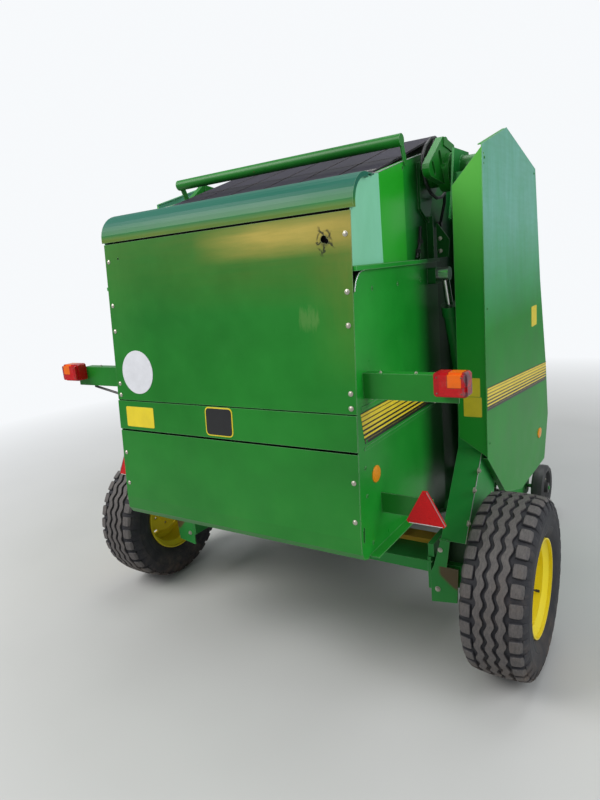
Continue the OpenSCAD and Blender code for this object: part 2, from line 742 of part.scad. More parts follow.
module gate_side() {
    difference() {
        upright(skin_x, sheet_t) polygon(skin_outline());
        upright(skin_x - 1, sheet_t + 2) slot([-536, 784], [-542, 735], 6);
    }
    for (z = [band_bottom_z, band_top_z + 14])
        upright(gate_x, ridge_t) oblong([-488, z], [225, z], ridge_r);
    upright(gate_x, foot_flange) ribbon(gate_low_line, sheet_t);
    difference() {
        intersection() {
            translate([0, 0, shelf_z]) linear_extrude(600) ribbon(crown_line, sheet_t);
            upright(500, 200) polygon(crown_outline());
        }
        bar_x(500, 700, 58, 2117, 8);
    }
    intersection() {
        translate([0, 0, shelf_z]) linear_extrude(600)
            ribbon(crown_line, sheet_t + 18);
        upright(500, 200) ribbon(crown_top, -sheet_t);
    }
    block([recess_x, rear_at(shelf_z) + sheet_t + 2, shelf_z - 6],
        [gate_x + shelf_out, split_y, shelf_z + shelf_t - 6]);
    block([recess_x + sheet_t, split_y - 20 - sheet_t, shelf_z],
        [recess_x + 34, split_y - 20, 1930]);
    difference() {
        upright(recess_x + sheet_t, 12) polygon(concat([[212, 2150], [212, 1960],
            [split_y - 20, 1900]], arc([hinge_y, hinge_z], tube_r + 26, -90, 100, 10)));
        bar_x(recess_x - 5, recess_x + 60, hinge_y, hinge_z, tube_r + pin_play);
    }
    upright(gate_x, lift_x - 24 - gap - gate_x) rounded(lift_eye - [46, 40], lift_eye + [46, 30], 12);
}

module panel(line, half, t = sheet_t) {
    upright(-half, 2 * half) ribbon(line, -t);
}

module rear_panel_upper() {
    color(green) difference() {
        panel([[rear_at(band_top_z + 2), band_top_z + 2],
            [rear_at(gate_top_z - seam), gate_top_z - seam]], gate_x);
        for (h = [[528, 1847, 13], [539, 1839, 9], [-552, 1867, 5]])
            translate([h[0], -600, h[1]]) rotate([-90, 0, 0]) cylinder(h = 200, r = h[2]);
    }
}

module rear_band() {
    color(green) panel([[rear_at(band_bottom_z + 2) - 3, band_bottom_z + 2],
        [rear_at(band_top_z - 2) - 3, band_top_z - 2]], gate_x, sheet_t + 3);
}

module rear_panel_lower() {
    color(green) panel(lip_line, gate_x);
}

module gate_cover() {
    bead = arc(cover_mid, cover_r, 180, 80, 10);
    color(green) {
        upright(-gate_x - 12, gate_w + 24) ribbon(concat([[rear_top[0], rear_top[1] + gap]],
            bead, [cover_end]), -sheet_t);
        both_sides() upright(gate_x + gap, 12 - gap)
            ribbon(concat([[rear_top[0], rear_top[1] + gap]], bead), -sheet_t - 14);
    }
}

tube_line = [40, 2222];
module gate_tube() {
    color(green) {
        bar_x(-recess_x - 15, recess_x + 15, tube_line[0], tube_line[1], 25);
        both_sides() upright(recess_x + sheet_t, 6) polygon([[fold_y + 8, 2128],
            [fold_y + 35, 2136], [tube_line[0] + 20, tube_line[1] + 18],
            [tube_line[0] - 16, tube_line[1] + 18]]);
    }
}

// Hose clipped to the tail gate's recessed sheet on the right
clip_x = recess_x + sheet_t;
run_x = clip_x + 8;
run_path = [[run_x, 150, shelf_z + 18], [run_x, 168, shelf_z + 46], [run_x, 196, 1822],
    [run_x, 206, 1885]];
module gate_hose() {
    color(black) for (i = [0 : 2]) rod_between(run_path[i], run_path[i + 1], 6);
    color(steel) for (p = [run_path[1], run_path[2]])
        block([clip_x + gap, p[1] - 10, p[2] - 9], [run_x + 9, p[1] + 10, p[2] + 9]);
}

arm_y = -470;
lamp_w = 112;
lamp_h = 83;
lamp_in_x = gate_x + lamp_out - lamp_w;
plate_y = -380;
lamp_x = lamp_in_x - 9;
lamp_foot_z = lamp_z + 31;
arm_end_x = lamp_in_x + 60;
module lamp_arms() {
    color(green) both_sides() {
        block([gate_x, arm_y, lamp_z], [arm_end_x, arm_y + sheet_t, lamp_z + lamp_arm_h]);
        block([gate_x, arm_y, lamp_z], [lamp_in_x, arm_y + 45, lamp_z + sheet_t]);
        block([gate_x, arm_y, lamp_z + lamp_arm_h - sheet_t],
            [lamp_in_x, arm_y + 45, lamp_z + lamp_arm_h]);
        block([gate_x, plate_y, 790], [gate_x + 214, plate_y + 6, 872]);
    }
}

module lamps() {
    color(red) both_sides() translate([lamp_x, arm_y - gap, lamp_foot_z]) rotate([90, 0, 0]) {
        linear_extrude(48) rounded([0, 0], [lamp_w + 2, lamp_h], 12);
        translate([0, 0, 48]) linear_extrude(14) rounded([6, 6], [lamp_w - 4, lamp_h - 6], 8);
    }
}

module triangles() {
    h = triangle_side * sqrt(3) / 2;
    r = 9;
    color(red) both_sides() translate([gate_x + 184, plate_y - gap, 767]) rotate([90, 0, 0])
        linear_extrude(8) {
            polygon([[-triangle_side / 2, r], [-triangle_side / 2 + r, 0],
                [triangle_side / 2 - r, 0], [triangle_side / 2, r], [r, h], [-r, h]]);
        }
}

// Gate cylinders, as [distance from the axle, height]
lift_foot = [640, 600];
lift_eye = [250, 1675];
lift_pin_r = 20;
lift_x = side_x + 104;
lift_r = 34;
rod_r = 17;
function lift_dir() = unit(lift_eye - lift_foot);
function lift_at(d) = lift_foot + d * lift_dir();
lift_len = norm(lift_eye - lift_foot);
function lift_point(d) = [lift_x, lift_at(d)[0], lift_at(d)[1]];

module lift_barrel() {
    difference() {
        union() {
            bar_x(lift_x - 24, lift_x + 24, lift_foot[0], lift_foot[1], 40);
            rod_between(lift_point(34), lift_point(lift_len - 160), lift_r);
            rod_between(lift_point(lift_len - 200), lift_point(lift_len - 150), lift_r + 5);
            bar_x(lift_x, lift_x + lift_r + 14, lift_at(90)[0], lift_at(90)[1], 12);
        }
        bar_x(lift_x - 30, lift_x + 30, lift_foot[0], lift_foot[1], lift_pin_r + pin_play);
        rod_between(lift_point(60), lift_point(lift_len), rod_r + pin_play);
    }
}

module lift_rod() {
    rod_between(lift_point(70), lift_point(lift_len - 20), rod_r);
    bar_x(lift_x - 24, lift_x + 24, lift_eye[0], lift_eye[1], 30);
}

// Side shields

shield_x = side_x + shield_out;
shield_line = [[146, 868], [150, 2167], [530, 2277], [1093, 2150], [1207, 1581], [1363, 1071],
    [1423, 753], [1321, 494], [752, 508], [433, 609]];
// The hinges lie along the sloping front edge, as [distance from the axle, height]
shield_pin_r = 8;
hinge_x = shield_x - sheet_t - 18;
shield_slope = atan2(shield_line[5][0] - shield_line[4][0], shield_line[4][1] - shield_line[5][1]);
function edge_at(z) = shield_line[4][0] - 26 + (shield_line[4][1] - z) * tan(shield_slope);
shield_hinges = [[edge_at(1480), 1480], [edge_at(1190), 1190]];
function wall_front(z) = 1085 + (1600 - z) * 105 / 515 - 12;

module at_hinge(h) {
    translate([hinge_x, h[0], h[1]]) rotate([shield_slope, 0, 0]) children();
}

module shield() {
    inner = shield_x - shield_flange;
    for (h = shield_hinges) at_hinge(h) difference() {
        union() {
            translate([0, 0, -22]) cylinder(h = 44, r = 15);
            translate([0, -12, -22]) cube([20, 24, 44]);
        }
        translate([0, 0, -30]) cylinder(h = 60, r = shield_pin_r + pin_play);
    }
    difference() {
        upright(shield_x - sheet_t, sheet_t) polygon(shield_line);
        for (z = [2135, 2098]) bar_x(shield_x - 20, shield_x + 1, 172, z, 5);
    }
    translate([0, 150 + sheet_t, 0]) rotate([90, 0, 0]) linear_extrude(sheet_t)
        polygon([[inner, 955], [inner, 2028], [shield_x - 1, 2162], [shield_x - 1, 871]]);
    block([inner, 150, 962], [inner + sheet_t, 150 + 22, 2022]);
    upright(shield_x - 20, 19) ribbon([[160, 2172], [530, 2277], [1085, 2152]], -sheet_t);
    upright(shield_x - 30, 29) ribbon([[170, 858], [433, 611], [752, 510], [1300, 497]],
        sheet_t);
}

// Pickup

pickup_pivot = [1055, 640];
pivot_r = 16;
guard_pivot = [1270, 600];
guard_r = 12;
reel_c = [1430, 335];
gauge_r = 150;
gauge_pin_r = 12;
gauge_c = [1610, gauge_r + 40];
plate_x = rail_x + rail_t + plate_gap;
pickup_half = plate_x - 20;
rear_bar = [1160, 560, 30];
low_bar = [1200, 200, 20];
module pickup_frame() {
    side = [[1010, 690], [1010, 560], [1130, 270], [1160, 160], [1330, 140], [1640, 140],
        [1690, 330], [1640, 520], [1300, 660], [1120, 690]];
    color(green) {
        both_sides() difference() {
            upright(plate_x, 5) polygon(side);
            bar_x(plate_x - 1, plate_x + 6, reel_c[0], reel_c[1], 20 + pin_play);
            bar_x(plate_x - 1, plate_x + 6, guard_pivot[0], guard_pivot[1], guard_r + gap);
        }
        for (b = [rear_bar, low_bar]) bar_x(-plate_x, plate_x, b[0], b[1], b[2]);
        both_sides() bar_x(rail_lo[0] - 12, plate_x, pickup_pivot[0], pickup_pivot[1], pivot_r);
        both_sides() bar_x(plate_x + 5, plate_x + 145, gauge_c[0], gauge_c[1], gauge_pin_r);
    }
}

// Sheet bands bent round the reel; the tines pass between them
band_r = 178;
band_w = tine_pitch - tine_t - 2 * tine_play;
function band_line() = concat([[rear_bar[0] - 14, rear_bar[1] + rear_bar[2] + gap],
    [rear_bar[0] + 16, rear_bar[1] + rear_bar[2] + gap]],
    arc(reel_c, band_r, 98, -112, 16),
    [[low_bar[0] + 30, low_bar[1] - low_bar[2] - gap], [low_bar[0] - 14,
    low_bar[1] - low_bar[2] - gap]]);
module stripper_bands() {
    rows = floor(pickup_half / tine_pitch);
    color(green) for (i = [-rows : rows - 1])
        upright((i + 0.5) * tine_pitch - band_w / 2, band_w) ribbon(band_line(), 3);
}

bar_at = 138;
tine_root = bar_at - 8;
module pickup_reel() {
    rows = floor(pickup_half / tine_pitch);
    color(steel) {
        bar_x(-plate_x - 8, plate_x + 8, reel_c[0], reel_c[1], 20);
        both_sides() bar_x(pickup_half - 14, pickup_half - 8, reel_c[0], reel_c[1], bar_at + 22);
        bar_x(-4, 4, reel_c[0], reel_c[1], bar_at + 22);
        for (k = [0 : bar_count - 1]) rotate_reel(k * 360 / bar_count) {
            translate([-pickup_half + 10, bar_at, 0]) rotate([0, 90, 0])
                cylinder(h = 2 * pickup_half - 20, r = 13);
            for (i = [-rows : rows]) {
                translate([i * tine_pitch - tine_t / 2, tine_root, -tine_t / 2])
                    cube([tine_t, tine_r - tine_root, tine_t]);
                translate([i * tine_pitch - 14, bar_at, 0]) rotate([0, 90, 0])
                    cylinder(h = 28, r = 19);
            }
        }
    }
}

module rotate_reel(a) {
    translate([0, reel_c[0], reel_c[1]]) rotate([a, 0, 0]) children();
}

module gauge_wheel() {
    bore = gauge_pin_r + pin_play;
    color(black) translate([plate_x + 95, gauge_c[0], gauge_c[1]]) rotate([0, 90, 0])
        rotate_extrude() polygon([[bore, -44], [34, -44], [34, -12], [gauge_r - 46, -12],
            [gauge_r - 40, -34], [gauge_r - 16, -40], [gauge_r - 2, -28], [gauge_r, 0],
            [gauge_r - 2, 28], [gauge_r - 16, 40], [gauge_r - 40, 34], [gauge_r - 46, 12],
            [34, 12], [34, 44], [bore, 44]]);
}

module wind_guard() {
    rows = floor(pickup_half / tine_pitch);
    color(green) {
        bar_x(-plate_x + 45, plate_x - 45, guard_pivot[0], guard_pivot[1], 20);
        bar_x(-plate_x - 5, plate_x + 5, guard_pivot[0], guard_pivot[1], guard_r);
        for (i = [-rows : rows]) upright(i * tine_pitch + 20, 8) ribbon([[guard_pivot[0] + 12, 604],
            [1500, 624], [1660, 560]], 8);
    }
}

module left() {
    mirror([1, 0, 0]) children();
}

place() axle_beam();
place() axle_arms();
place() yellow_bar();
place() side_rails();
place() color(green) left() frame_wall(wall_nose);  // frame_wall_left
place() color(green) frame_wall(drive_nose());  // frame_wall_right
place() frame_posts();
place() top_tube();
place() tension_arms();
place() front_panel();
place() front_beam();
place() frame_rollers();
place() frame_belts();
place() frame_brackets();
place() drawbar();
place() gearbox();
place() drive_chain();
place() driveline();
place() hose_loop();
place() twine_box();
place() twine_lid();
place() jack_tube();
place() jack_leg();
place() color(green) left() gate_side();  // gate_side_left
place() color(green) gate_side();  // gate_side_right
place() rear_panel_upper();
place() rear_band();
place() rear_panel_lower();
place() gate_cover();
place() gate_tube();
place() gate_rollers();
place() gate_belts();
place() gate_hose();
place() lamp_arms();
place() lamps();
place() triangles();
place() left() tyre();  // tyre_left
place() tyre();  // tyre_right
place() left() rim();  // rim_left
place() rim();  // rim_right
place() color(black) left() lift_barrel();  // lift_barrel_left
place() color(black) lift_barrel();  // lift_barrel_right
place() color(steel) left() lift_rod();  // lift_rod_left
place() color(steel) lift_rod();  // lift_rod_right
place() color(green) left() shield();  // shield_left
place() color(green) shield();  // shield_right
place() pickup_frame();
place() stripper_bands();
place() pickup_reel();
place() left() gauge_wheel();  // gauge_wheel_left
place() gauge_wheel();  // gauge_wheel_right
place() wind_guard();
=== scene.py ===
import math
import random

import bmesh
import bpy
from bpy.props import FloatProperty, FloatVectorProperty, IntProperty, PointerProperty
from mathutils import Matrix, Vector


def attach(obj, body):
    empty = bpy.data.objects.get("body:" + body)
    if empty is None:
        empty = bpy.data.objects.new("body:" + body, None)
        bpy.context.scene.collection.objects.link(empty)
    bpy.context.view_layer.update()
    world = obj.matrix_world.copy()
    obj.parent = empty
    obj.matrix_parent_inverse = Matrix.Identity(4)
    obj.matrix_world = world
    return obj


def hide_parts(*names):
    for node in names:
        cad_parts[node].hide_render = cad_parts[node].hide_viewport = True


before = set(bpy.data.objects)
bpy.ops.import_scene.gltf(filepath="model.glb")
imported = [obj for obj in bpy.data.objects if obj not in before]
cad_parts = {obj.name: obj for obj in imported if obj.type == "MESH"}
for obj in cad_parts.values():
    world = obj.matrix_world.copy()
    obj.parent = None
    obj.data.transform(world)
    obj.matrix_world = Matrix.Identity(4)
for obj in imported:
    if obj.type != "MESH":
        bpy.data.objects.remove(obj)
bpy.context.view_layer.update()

bl_info = {
    "name": "Round Baler Dressing",
    "version": (1, 0, 0),
    "blender": (4, 5, 0),
    "location": "View3D > Sidebar > Baler",
    "description": "Tread, fastenings, plates, paint and stage for a round baler",
    "category": "Object",
}

MID = 1.3275           # the wheel axle stands this far behind the middle of the baler
WHEEL_X = 1.046
WHEEL_R = 0.380
GATE_X = 0.638         # outer face of the gate's side sheets
SHIELD_X = 0.905       # outer face of the side shields
BACKGROUND = (0.93, 0.95, 0.97)


def at(x, y, z):
    """A point given as metres right of the middle, ahead of the axle and above the ground."""
    return Vector((x, y - MID, z))


def rear_at(z):
    """How far ahead of the axle the tail gate's leaning rear face is, at height z."""
    return -0.479 + (z - 1.942) * 0.07376


# Settings that a user would change

class BalerWheelSettings(bpy.types.PropertyGroup):
    tread_depth: FloatProperty(
        name="Tread Depth", description="Height of the ribs and shoulder blocks",
        default=0.012, min=0.004, max=0.016, unit="LENGTH")
    tread_pitches: IntProperty(
        name="Tread Pitches", description="How often the tread repeats round the tyre",
        default=32, min=20, max=44)
    rib_width: FloatProperty(
        name="Rib Width", description="Width of each of the three wavy ribs",
        default=0.027, min=0.02, max=0.034, unit="LENGTH")
    rib_wave: FloatProperty(
        name="Rib Wave", description="How far a rib swings to each side",
        default=0.0058, min=0.0, max=0.01, unit="LENGTH")


class BalerPaintSettings(bpy.types.PropertyGroup):
    body_colour: FloatVectorProperty(
        name="Body Paint", description="Green of the sheet metal", subtype="COLOR",
        size=3, min=0, max=1, default=(0.007, 0.182, 0.013))
    trim_colour: FloatVectorProperty(
        name="Wheel Paint", description="Yellow of the rims, plates and cross bar",
        subtype="COLOR", size=3, min=0, max=1, default=(0.90, 0.66, 0.012))
    rubber_colour: FloatVectorProperty(
        name="Rubber", description="Tyre rubber below the worn faces", subtype="COLOR",
        size=3, min=0, max=1, default=(0.013, 0.013, 0.017))
    belt_colour: FloatVectorProperty(
        name="Belting", description="The forming belts", subtype="COLOR",
        size=3, min=0, max=1, default=(0.014, 0.012, 0.021))
    lens_colour: FloatVectorProperty(
        name="Tail Lens", description="Red of the lamps and triangles", subtype="COLOR",
        size=3, min=0, max=1, default=(0.56, 0.006, 0.010))
    amber_colour: FloatVectorProperty(
        name="Amber Lens", description="Turn lamps and side reflectors", subtype="COLOR",
        size=3, min=0, max=1, default=(0.90, 0.16, 0.006))
    dirt: FloatProperty(
        name="Dirt", description="How much dust lies low down and in the corners",
        default=0.45, min=0, max=1, subtype="FACTOR")


class BalerStageSettings(bpy.types.PropertyGroup):
    sky: FloatProperty(
        name="Studio Fill", description="Strength of the even light from all round",
        default=0.46, min=0, max=1)
    key: FloatProperty(
        name="Key Light", description="Power of the large soft light",
        default=430.0, min=0, unit="POWER")
    lens: FloatProperty(
        name="Lens", description="Focal length of the camera, in millimetres",
        default=26.87, min=15, max=85)


# Materials

class Value:
    """A number that varies over a surface. Sums on it add Math nodes to its finish."""

    def __init__(self, finish, socket):
        self.finish = finish
        self.socket = socket

    def __add__(self, other):
        return self.finish.math("ADD", self, other)

    def __sub__(self, other):
        return self.finish.math("SUBTRACT", self, other)

    def __rsub__(self, other):
        return self.finish.math("SUBTRACT", other, self)

    def __mul__(self, other):
        return self.finish.math("MULTIPLY", self, other)

    def __gt__(self, other):
        return self.finish.math("GREATER_THAN", self, other)

    def __lt__(self, other):
        return self.finish.math("LESS_THAN", self, other)

    __radd__ = __add__
    __rmul__ = __mul__


class Shading:
    """The nodes of a material or of the world, written one by one."""

    def __init__(self, owner):
        self.owner = owner
        owner.use_nodes = True
        self.tree = owner.node_tree
        self.tree.nodes.clear()

    def node(self, kind, settings=None, values=None):
        """Adds a node: its settings first, then a value or a link for each socket."""
        made = self.tree.nodes.new(kind)
        for key, setting in (settings or {}).items():
            setattr(made, key, setting)
        for key, value in (values or {}).items():
            if isinstance(value, Value):
                value = value.socket
            if isinstance(value, bpy.types.NodeSocket):
                self.tree.links.new(value, made.inputs[key])
            else:
                made.inputs[key].default_value = value
        return made


class Finish(Shading):
    """One procedural finish."""

    def __init__(self, name):
        super().__init__(bpy.data.materials.new(name))
        self.place = self.node("ShaderNodeTexCoord").outputs["Object"]
        self.base = None

    def math(self, operation, *values):
        made = self.node("ShaderNodeMath", {"operation": operation}, dict(enumerate(values)))
        return Value(self, made.outputs[0])

    def noise(self, scale, detail=3.0, rough=0.5, place=None, warp=0.0):
        made = self.node("ShaderNodeTexNoise", None,
                         {"Vector": place or self.place, "Scale": scale, "Detail": detail,
                          "Roughness": rough, "Distortion": warp})
        return Value(self, made.outputs[0])

    def cells(self, scale):
        made = self.node("ShaderNodeTexVoronoi", None, {"Vector": self.place, "Scale": scale})
        return Value(self, made.outputs[0])

    def kept(self, value, low=0.0, high=1.0):
        """A value held between two limits and spread over 0 to 1."""
        made = self.node("ShaderNodeMapRange", {"clamp": True},
                         {0: value, 1: low, 2: high, 3: 0.0, 4: 1.0})
        return Value(self, made.outputs[0])

    def axes(self):
        made = self.node("ShaderNodeSeparateXYZ", None, {0: self.place})
        return [Value(self, socket) for socket in made.outputs]

    def facing(self):
        """The surface's own direction, as three values."""
        made = self.node("ShaderNodeSeparateXYZ", None,
                         {0: self.node("ShaderNodeNewGeometry").outputs["Normal"]})
        return [Value(self, socket) for socket in made.outputs]

    def stretched(self, scale, turn=(0, 0, 0)):
        return self.node("ShaderNodeMapping", None,
                         {"Vector": self.place, "Scale": scale, "Rotation": turn}).outputs[0]

    def mix(self, factor, first, second):
        """A colour between two colours."""
        first, second = ((*c, 1.0) if isinstance(c, tuple) else c for c in (first, second))
        made = self.node("ShaderNodeMix", {"data_type": "RGBA"}, {0: factor, 6: first, 7: second})
        return made.outputs[2]

    def blob(self, centre, radius, soft=0.5):
        """1 inside a ball on the surface, fading out over its rim."""
        offset = self.node("ShaderNodeVectorMath", {"operation": "DISTANCE"},
                           {0: self.place, 1: centre})
        return 1 - self.kept(Value(self, offset.outputs["Value"]), radius * (1 - soft), radius)

    def edges(self, radius=0.004):
        """1 along the sharp edges of sheet and bar, 0 on the flats."""
        soft = self.node("ShaderNodeBevel", {"samples": 4}, {"Radius": radius}).outputs[0]
        hard = self.node("ShaderNodeNewGeometry").outputs["Normal"]
        along = self.node("ShaderNodeVectorMath", {"operation": "DOT_PRODUCT"},
                          {0: soft, 1: hard})
        return 1 - self.kept(Value(self, along.outputs["Value"]), 0.72, 0.985)

    def lay(self, amount, colour):
        """Lays a colour over what the finish has so far."""
        self.base = self.mix(amount, self.base, colour)

    def surface(self, roughness, height, strength, depth, **fixed):
        """Joins colour, roughness and relief to the shader and the output."""
        bump = self.node("ShaderNodeBump", None,
                         {"Strength": strength, "Distance": depth, "Height": height}).outputs[0]
        shader = self.node("ShaderNodeBsdfPrincipled", None,
                           {"Base Color": self.base, "Roughness": roughness, "Normal": bump,
                            **fixed})
        self.node("ShaderNodeOutputMaterial", None, {"Surface": shader.outputs[0]})
        return self.owner


def scaled(colour, by, add=0.0):
    """A brighter or darker colour, no channel over 1."""
    return tuple(min(1, c * by + add) for c in colour)


# Tones that weather, oil and wear leave, and tones of painted reflection, highlight and shade

RUST = (0.115, 0.045, 0.018)
BROWN_STEEL = (0.135, 0.052, 0.020)
DUST = (0.165, 0.140, 0.080)
OLIVE_REFLECTION = (0.155, 0.150, 0.018)
OCHRE_REFLECTION = (0.50, 0.38, 0.075)
MUD = (0.125, 0.090, 0.066)
CHAFF = (0.30, 0.23, 0.11)
OIL_AND_SHADE = (0.004, 0.012, 0.007)
CRACK = (0.016, 0.020, 0.007)
RUBBED_HIGHLIGHT_GREEN = (0.30, 0.47, 0.31)
RUBBED_HIGHLIGHT_YELLOW = (0.62, 0.42, 0.12)
SHIELD_SKY_REFLECTION = (0.190, 0.480, 0.430)
CROWN_SKY_REFLECTION = (0.255, 0.640, 0.440)
CROWN_FACET_HIGHLIGHT = (0.018, 0.385, 0.018)
COVER_SKY_REFLECTION = (0.000, 0.110, 0.078)


def paint_settings():
    return bpy.context.scene.baler_paint


def sheet_paint(name, colour, gloss=0.24, sun=0.35, dust=0.4, wear=0.5, chips=1.0, shine=0.33,
                stains_and_light=None):
    """Sprayed enamel on sheet steel: faded patches, fine scratches, chips, dust and painted edge
    highlight.
    """
    f = Finish(name)
    z = f.axes()[2]
    up = f.facing()[2]
    dirt = paint_settings().dirt
    broad = f.noise(1.3, 3, 0.55)
    patch = f.noise(6.5, 5, 0.62)
    fine = f.noise(85, 3, 0.6)
    grain = f.noise(420, 2, 0.5)
    faded = tuple(c * 1.02 + 0.016 for c in colour)
    f.base = f.mix(f.kept(broad * 0.7 + patch * 0.3, 0.36, 0.64), scaled(colour, 0.80),
                   scaled(colour, 1.16, 0.004))
    f.lay(f.kept(f.noise(3.1, 6, 0.66, warp=0.6), 0.50, 0.78) * sun, faded)
    if stains_and_light:
        stains_and_light(f)
    edge = f.edges()
    # pale paint along the edges: partly worn paint, partly a painted highlight
    worn = f.kept(edge * (0.55 + patch * 0.9), 0.35, 0.9) * wear
    f.lay(worn, RUBBED_HIGHLIGHT_GREEN if colour[1] > colour[0] else RUBBED_HIGHLIGHT_YELLOW)
    # scratches run mostly up and down, with a few across
    long = f.noise(9, 8, 0.75, f.stretched((14, 14, 0.8)))
    cross = f.noise(7, 8, 0.75, f.stretched((0.9, 0.9, 16), (0.35, 0, 0.2)))
    scratch = f.kept(long, 0.695, 0.74) + f.kept(cross, 0.70, 0.74)
    f.lay(f.kept(scratch) * (0.10 + 0.18 * chips), faded)
    # chips that have rusted
    chip = (f.cells(13) < 0.05 + patch * 0.03) * (patch > 0.64) * f.kept(fine, 0.45, 0.55) * chips
    rust = f.kept(chip + f.kept(edge * patch * patch, 0.34, 0.5) * 0.7)
    f.lay(rust * 0.75, RUST)
    low = f.kept(1.15 - z, 0.0, 1.0)
    film = f.kept(low * 0.5 + patch * 0.75 + f.kept(up, 0.3, 1.0) * 0.15, 0.55, 1.25)
    film = f.kept(film * dust * dirt * 2 * (0.6 + fine * 0.8))
    f.lay(film * 0.42, DUST)
    rough = f.kept(gloss + patch * 0.12 + film * 0.5 + rust * 0.45 + scratch * 0.1 + worn * 0.15)
    height = fine * 0.03 + broad * 0.60 + patch * 0.16 - rust * 0.15 + grain * 0.01
    return f.surface(rough, height, 0.20, 0.006, **{"Specular IOR Level": shine})


def rear_stains_and_reflection(f):
    """Olive and ochre painted reflection high on the rear panel, and the scratches round a torn hole.
    """
    x, _, z = f.axes()
    streak = f.noise(5, 6, 0.7, f.stretched((7, 7, 1.2)))
    bands = f.noise(6, 4, 0.6, f.stretched((0.7, 1, 6)))
    top = f.kept(z, 1.60, 1.90)
    right = f.kept(x, -0.35, 0.45)
    # painted reflection of the sunlit ground: olive over the top and right, ochre in a patch below
    # the cover
    film = f.kept(top * (0.25 + bands * 0.9) * (0.35 + right * 0.75))
    f.lay(film * 0.62, OLIVE_REFLECTION)
    reflection_patch = f.kept(x, -0.10, 0.28) * f.kept(z, 1.79, 1.87) * f.kept(1.945 - z, 0.0, 0.05)
    f.lay(f.kept(reflection_patch * (0.40 + bands * 1.2)) * 0.88, OCHRE_REFLECTION)
    side = f.kept(x, 0.44, 0.63) * f.kept(z, 1.30, 1.78)
    f.lay(f.kept(side * (0.1 + streak * 1.1)) * 0.55, (0.22, 0.200, 0.030))
    left = f.kept(0 - x, 0.40, 0.56) * f.kept(z, 1.20, 1.75)
    f.lay(f.kept(left * (0.1 + streak * 0.9)) * 0.22, (0.10, 0.27, 0.060))
    # short cracks run out from the tear, unevenly
    tear_x, tear_z = 0.532, 1.842
    across, rise = x - tear_x, (z - tear_z) * 0.9
    crooked = f.noise(30, 3, 0.6)
    bearing = f.math("ARCTAN2", rise, across) + crooked * 1.6
    reach = f.math("SQRT", across * across + rise * rise)
    uneven = f.noise(16, 2, 0.5)
    spokes = f.kept(f.math("SINE", bearing * 5), 0.72, 0.92)
    spokes = spokes * f.kept(uneven * 0.092 - reach, 0.0, 0.014)
    ring = f.kept(0.006 - f.math("ABSOLUTE", reach - 0.016 - uneven * 0.030), 0.0, 0.006)
    ring = ring * f.kept(crooked, 0.42, 0.55)
    f.lay(f.kept(spokes + ring) * 0.9, CRACK)
    f.lay(f.kept(0.024 - reach, 0.0, 0.010) * 0.6, (0.02, 0.03, 0.008))
    rubbed = f.blob((0.46, rear_at(1.56) - MID, 1.57), 0.11, 0.9)
    f.lay(f.kept(rubbed * streak * 1.8, 0.5, 0.75) * 0.35, (0.16, 0.30, 0.08))


def cover_reflection_and_ochre(f):
    """A blue-green painted sky reflection along the top of the rounded cover, ochre below."""
    z = f.axes()[2]
    smear = f.noise(7, 5, 0.6, f.stretched((0.6, 3, 3)))
    # painted sky reflection on the top of the cover
    f.lay(f.kept(z, 1.955, 2.02) * 0.92, COVER_SKY_REFLECTION)
    f.lay(f.kept(1.972 - z, 0.0, 0.02) * (0.2 + smear * 0.6), (0.19, 0.20, 0.030))


def shield_painted_light(f):
    """Painted sky reflection high up on the outer face, painted light on the rear flange."""
    z = f.axes()[2]
    nx, ny, _ = f.facing()
    reflection_noise = f.noise(2.2, 6, 0.68, f.stretched((1, 2.2, 0.5)), 0.4)
    bands = f.noise(9, 5, 0.62, f.stretched((1, 0.6, 5)))
    outside = f.kept(nx * nx, 0.5, 0.8)
    high = f.kept(z, 1.42, 1.92)
    streak = f.noise(4.5, 6, 0.74, f.stretched((1, 3.2, 0.55), (0.12, 0, 0)))
    # pale painted sky reflection high on the outward faces
    film = f.kept(high * (0.10 + reflection_noise * 0.55 + streak * 0.75) * (0.75 + bands * 0.5))
    f.lay(film * outside * 0.82, SHIELD_SKY_REFLECTION)
    # painted light on the rear-facing flange: yellowish green high up, brighter green lower down
    rear = f.kept(0 - ny, 0.5, 0.8)
    f.lay(rear * f.kept(z, 1.55, 2.1) * (0.5 + reflection_noise * 0.4), (0.155, 0.560, 0.085))
    f.lay(rear * f.kept(1.75 - z, 0.0, 0.4) * 0.8, (0.016, 0.300, 0.026))


def side_painted_light(f):
    """Painted reflection behind the crown's bend, painted highlight ahead of it, shield's painted
    shadow in front.
    """
    _, y, z = f.axes()
    reflection_noise = f.noise(3.0, 6, 0.66, f.stretched((1, 2, 0.7)), 0.5)
    # each facet of the crown gets its own painted light, by the way the facet faces
    crown = z > 1.747
    behind = (y < -0.24 - MID) * crown
    middle = (y < 0.065 - MID) * crown * (1 - behind)
    f.lay(behind * (0.62 + reflection_noise * 0.5), CROWN_SKY_REFLECTION)
    f.lay(middle * 0.92, CROWN_FACET_HIGHLIGHT)
    # painted shadow of the shield, darker towards the front of the side sheet
    ahead = f.kept(y, 0.04 - MID, 0.20 - MID)
    f.lay(f.kept(ahead) * 0.8, (0.004, 0.045, 0.010))


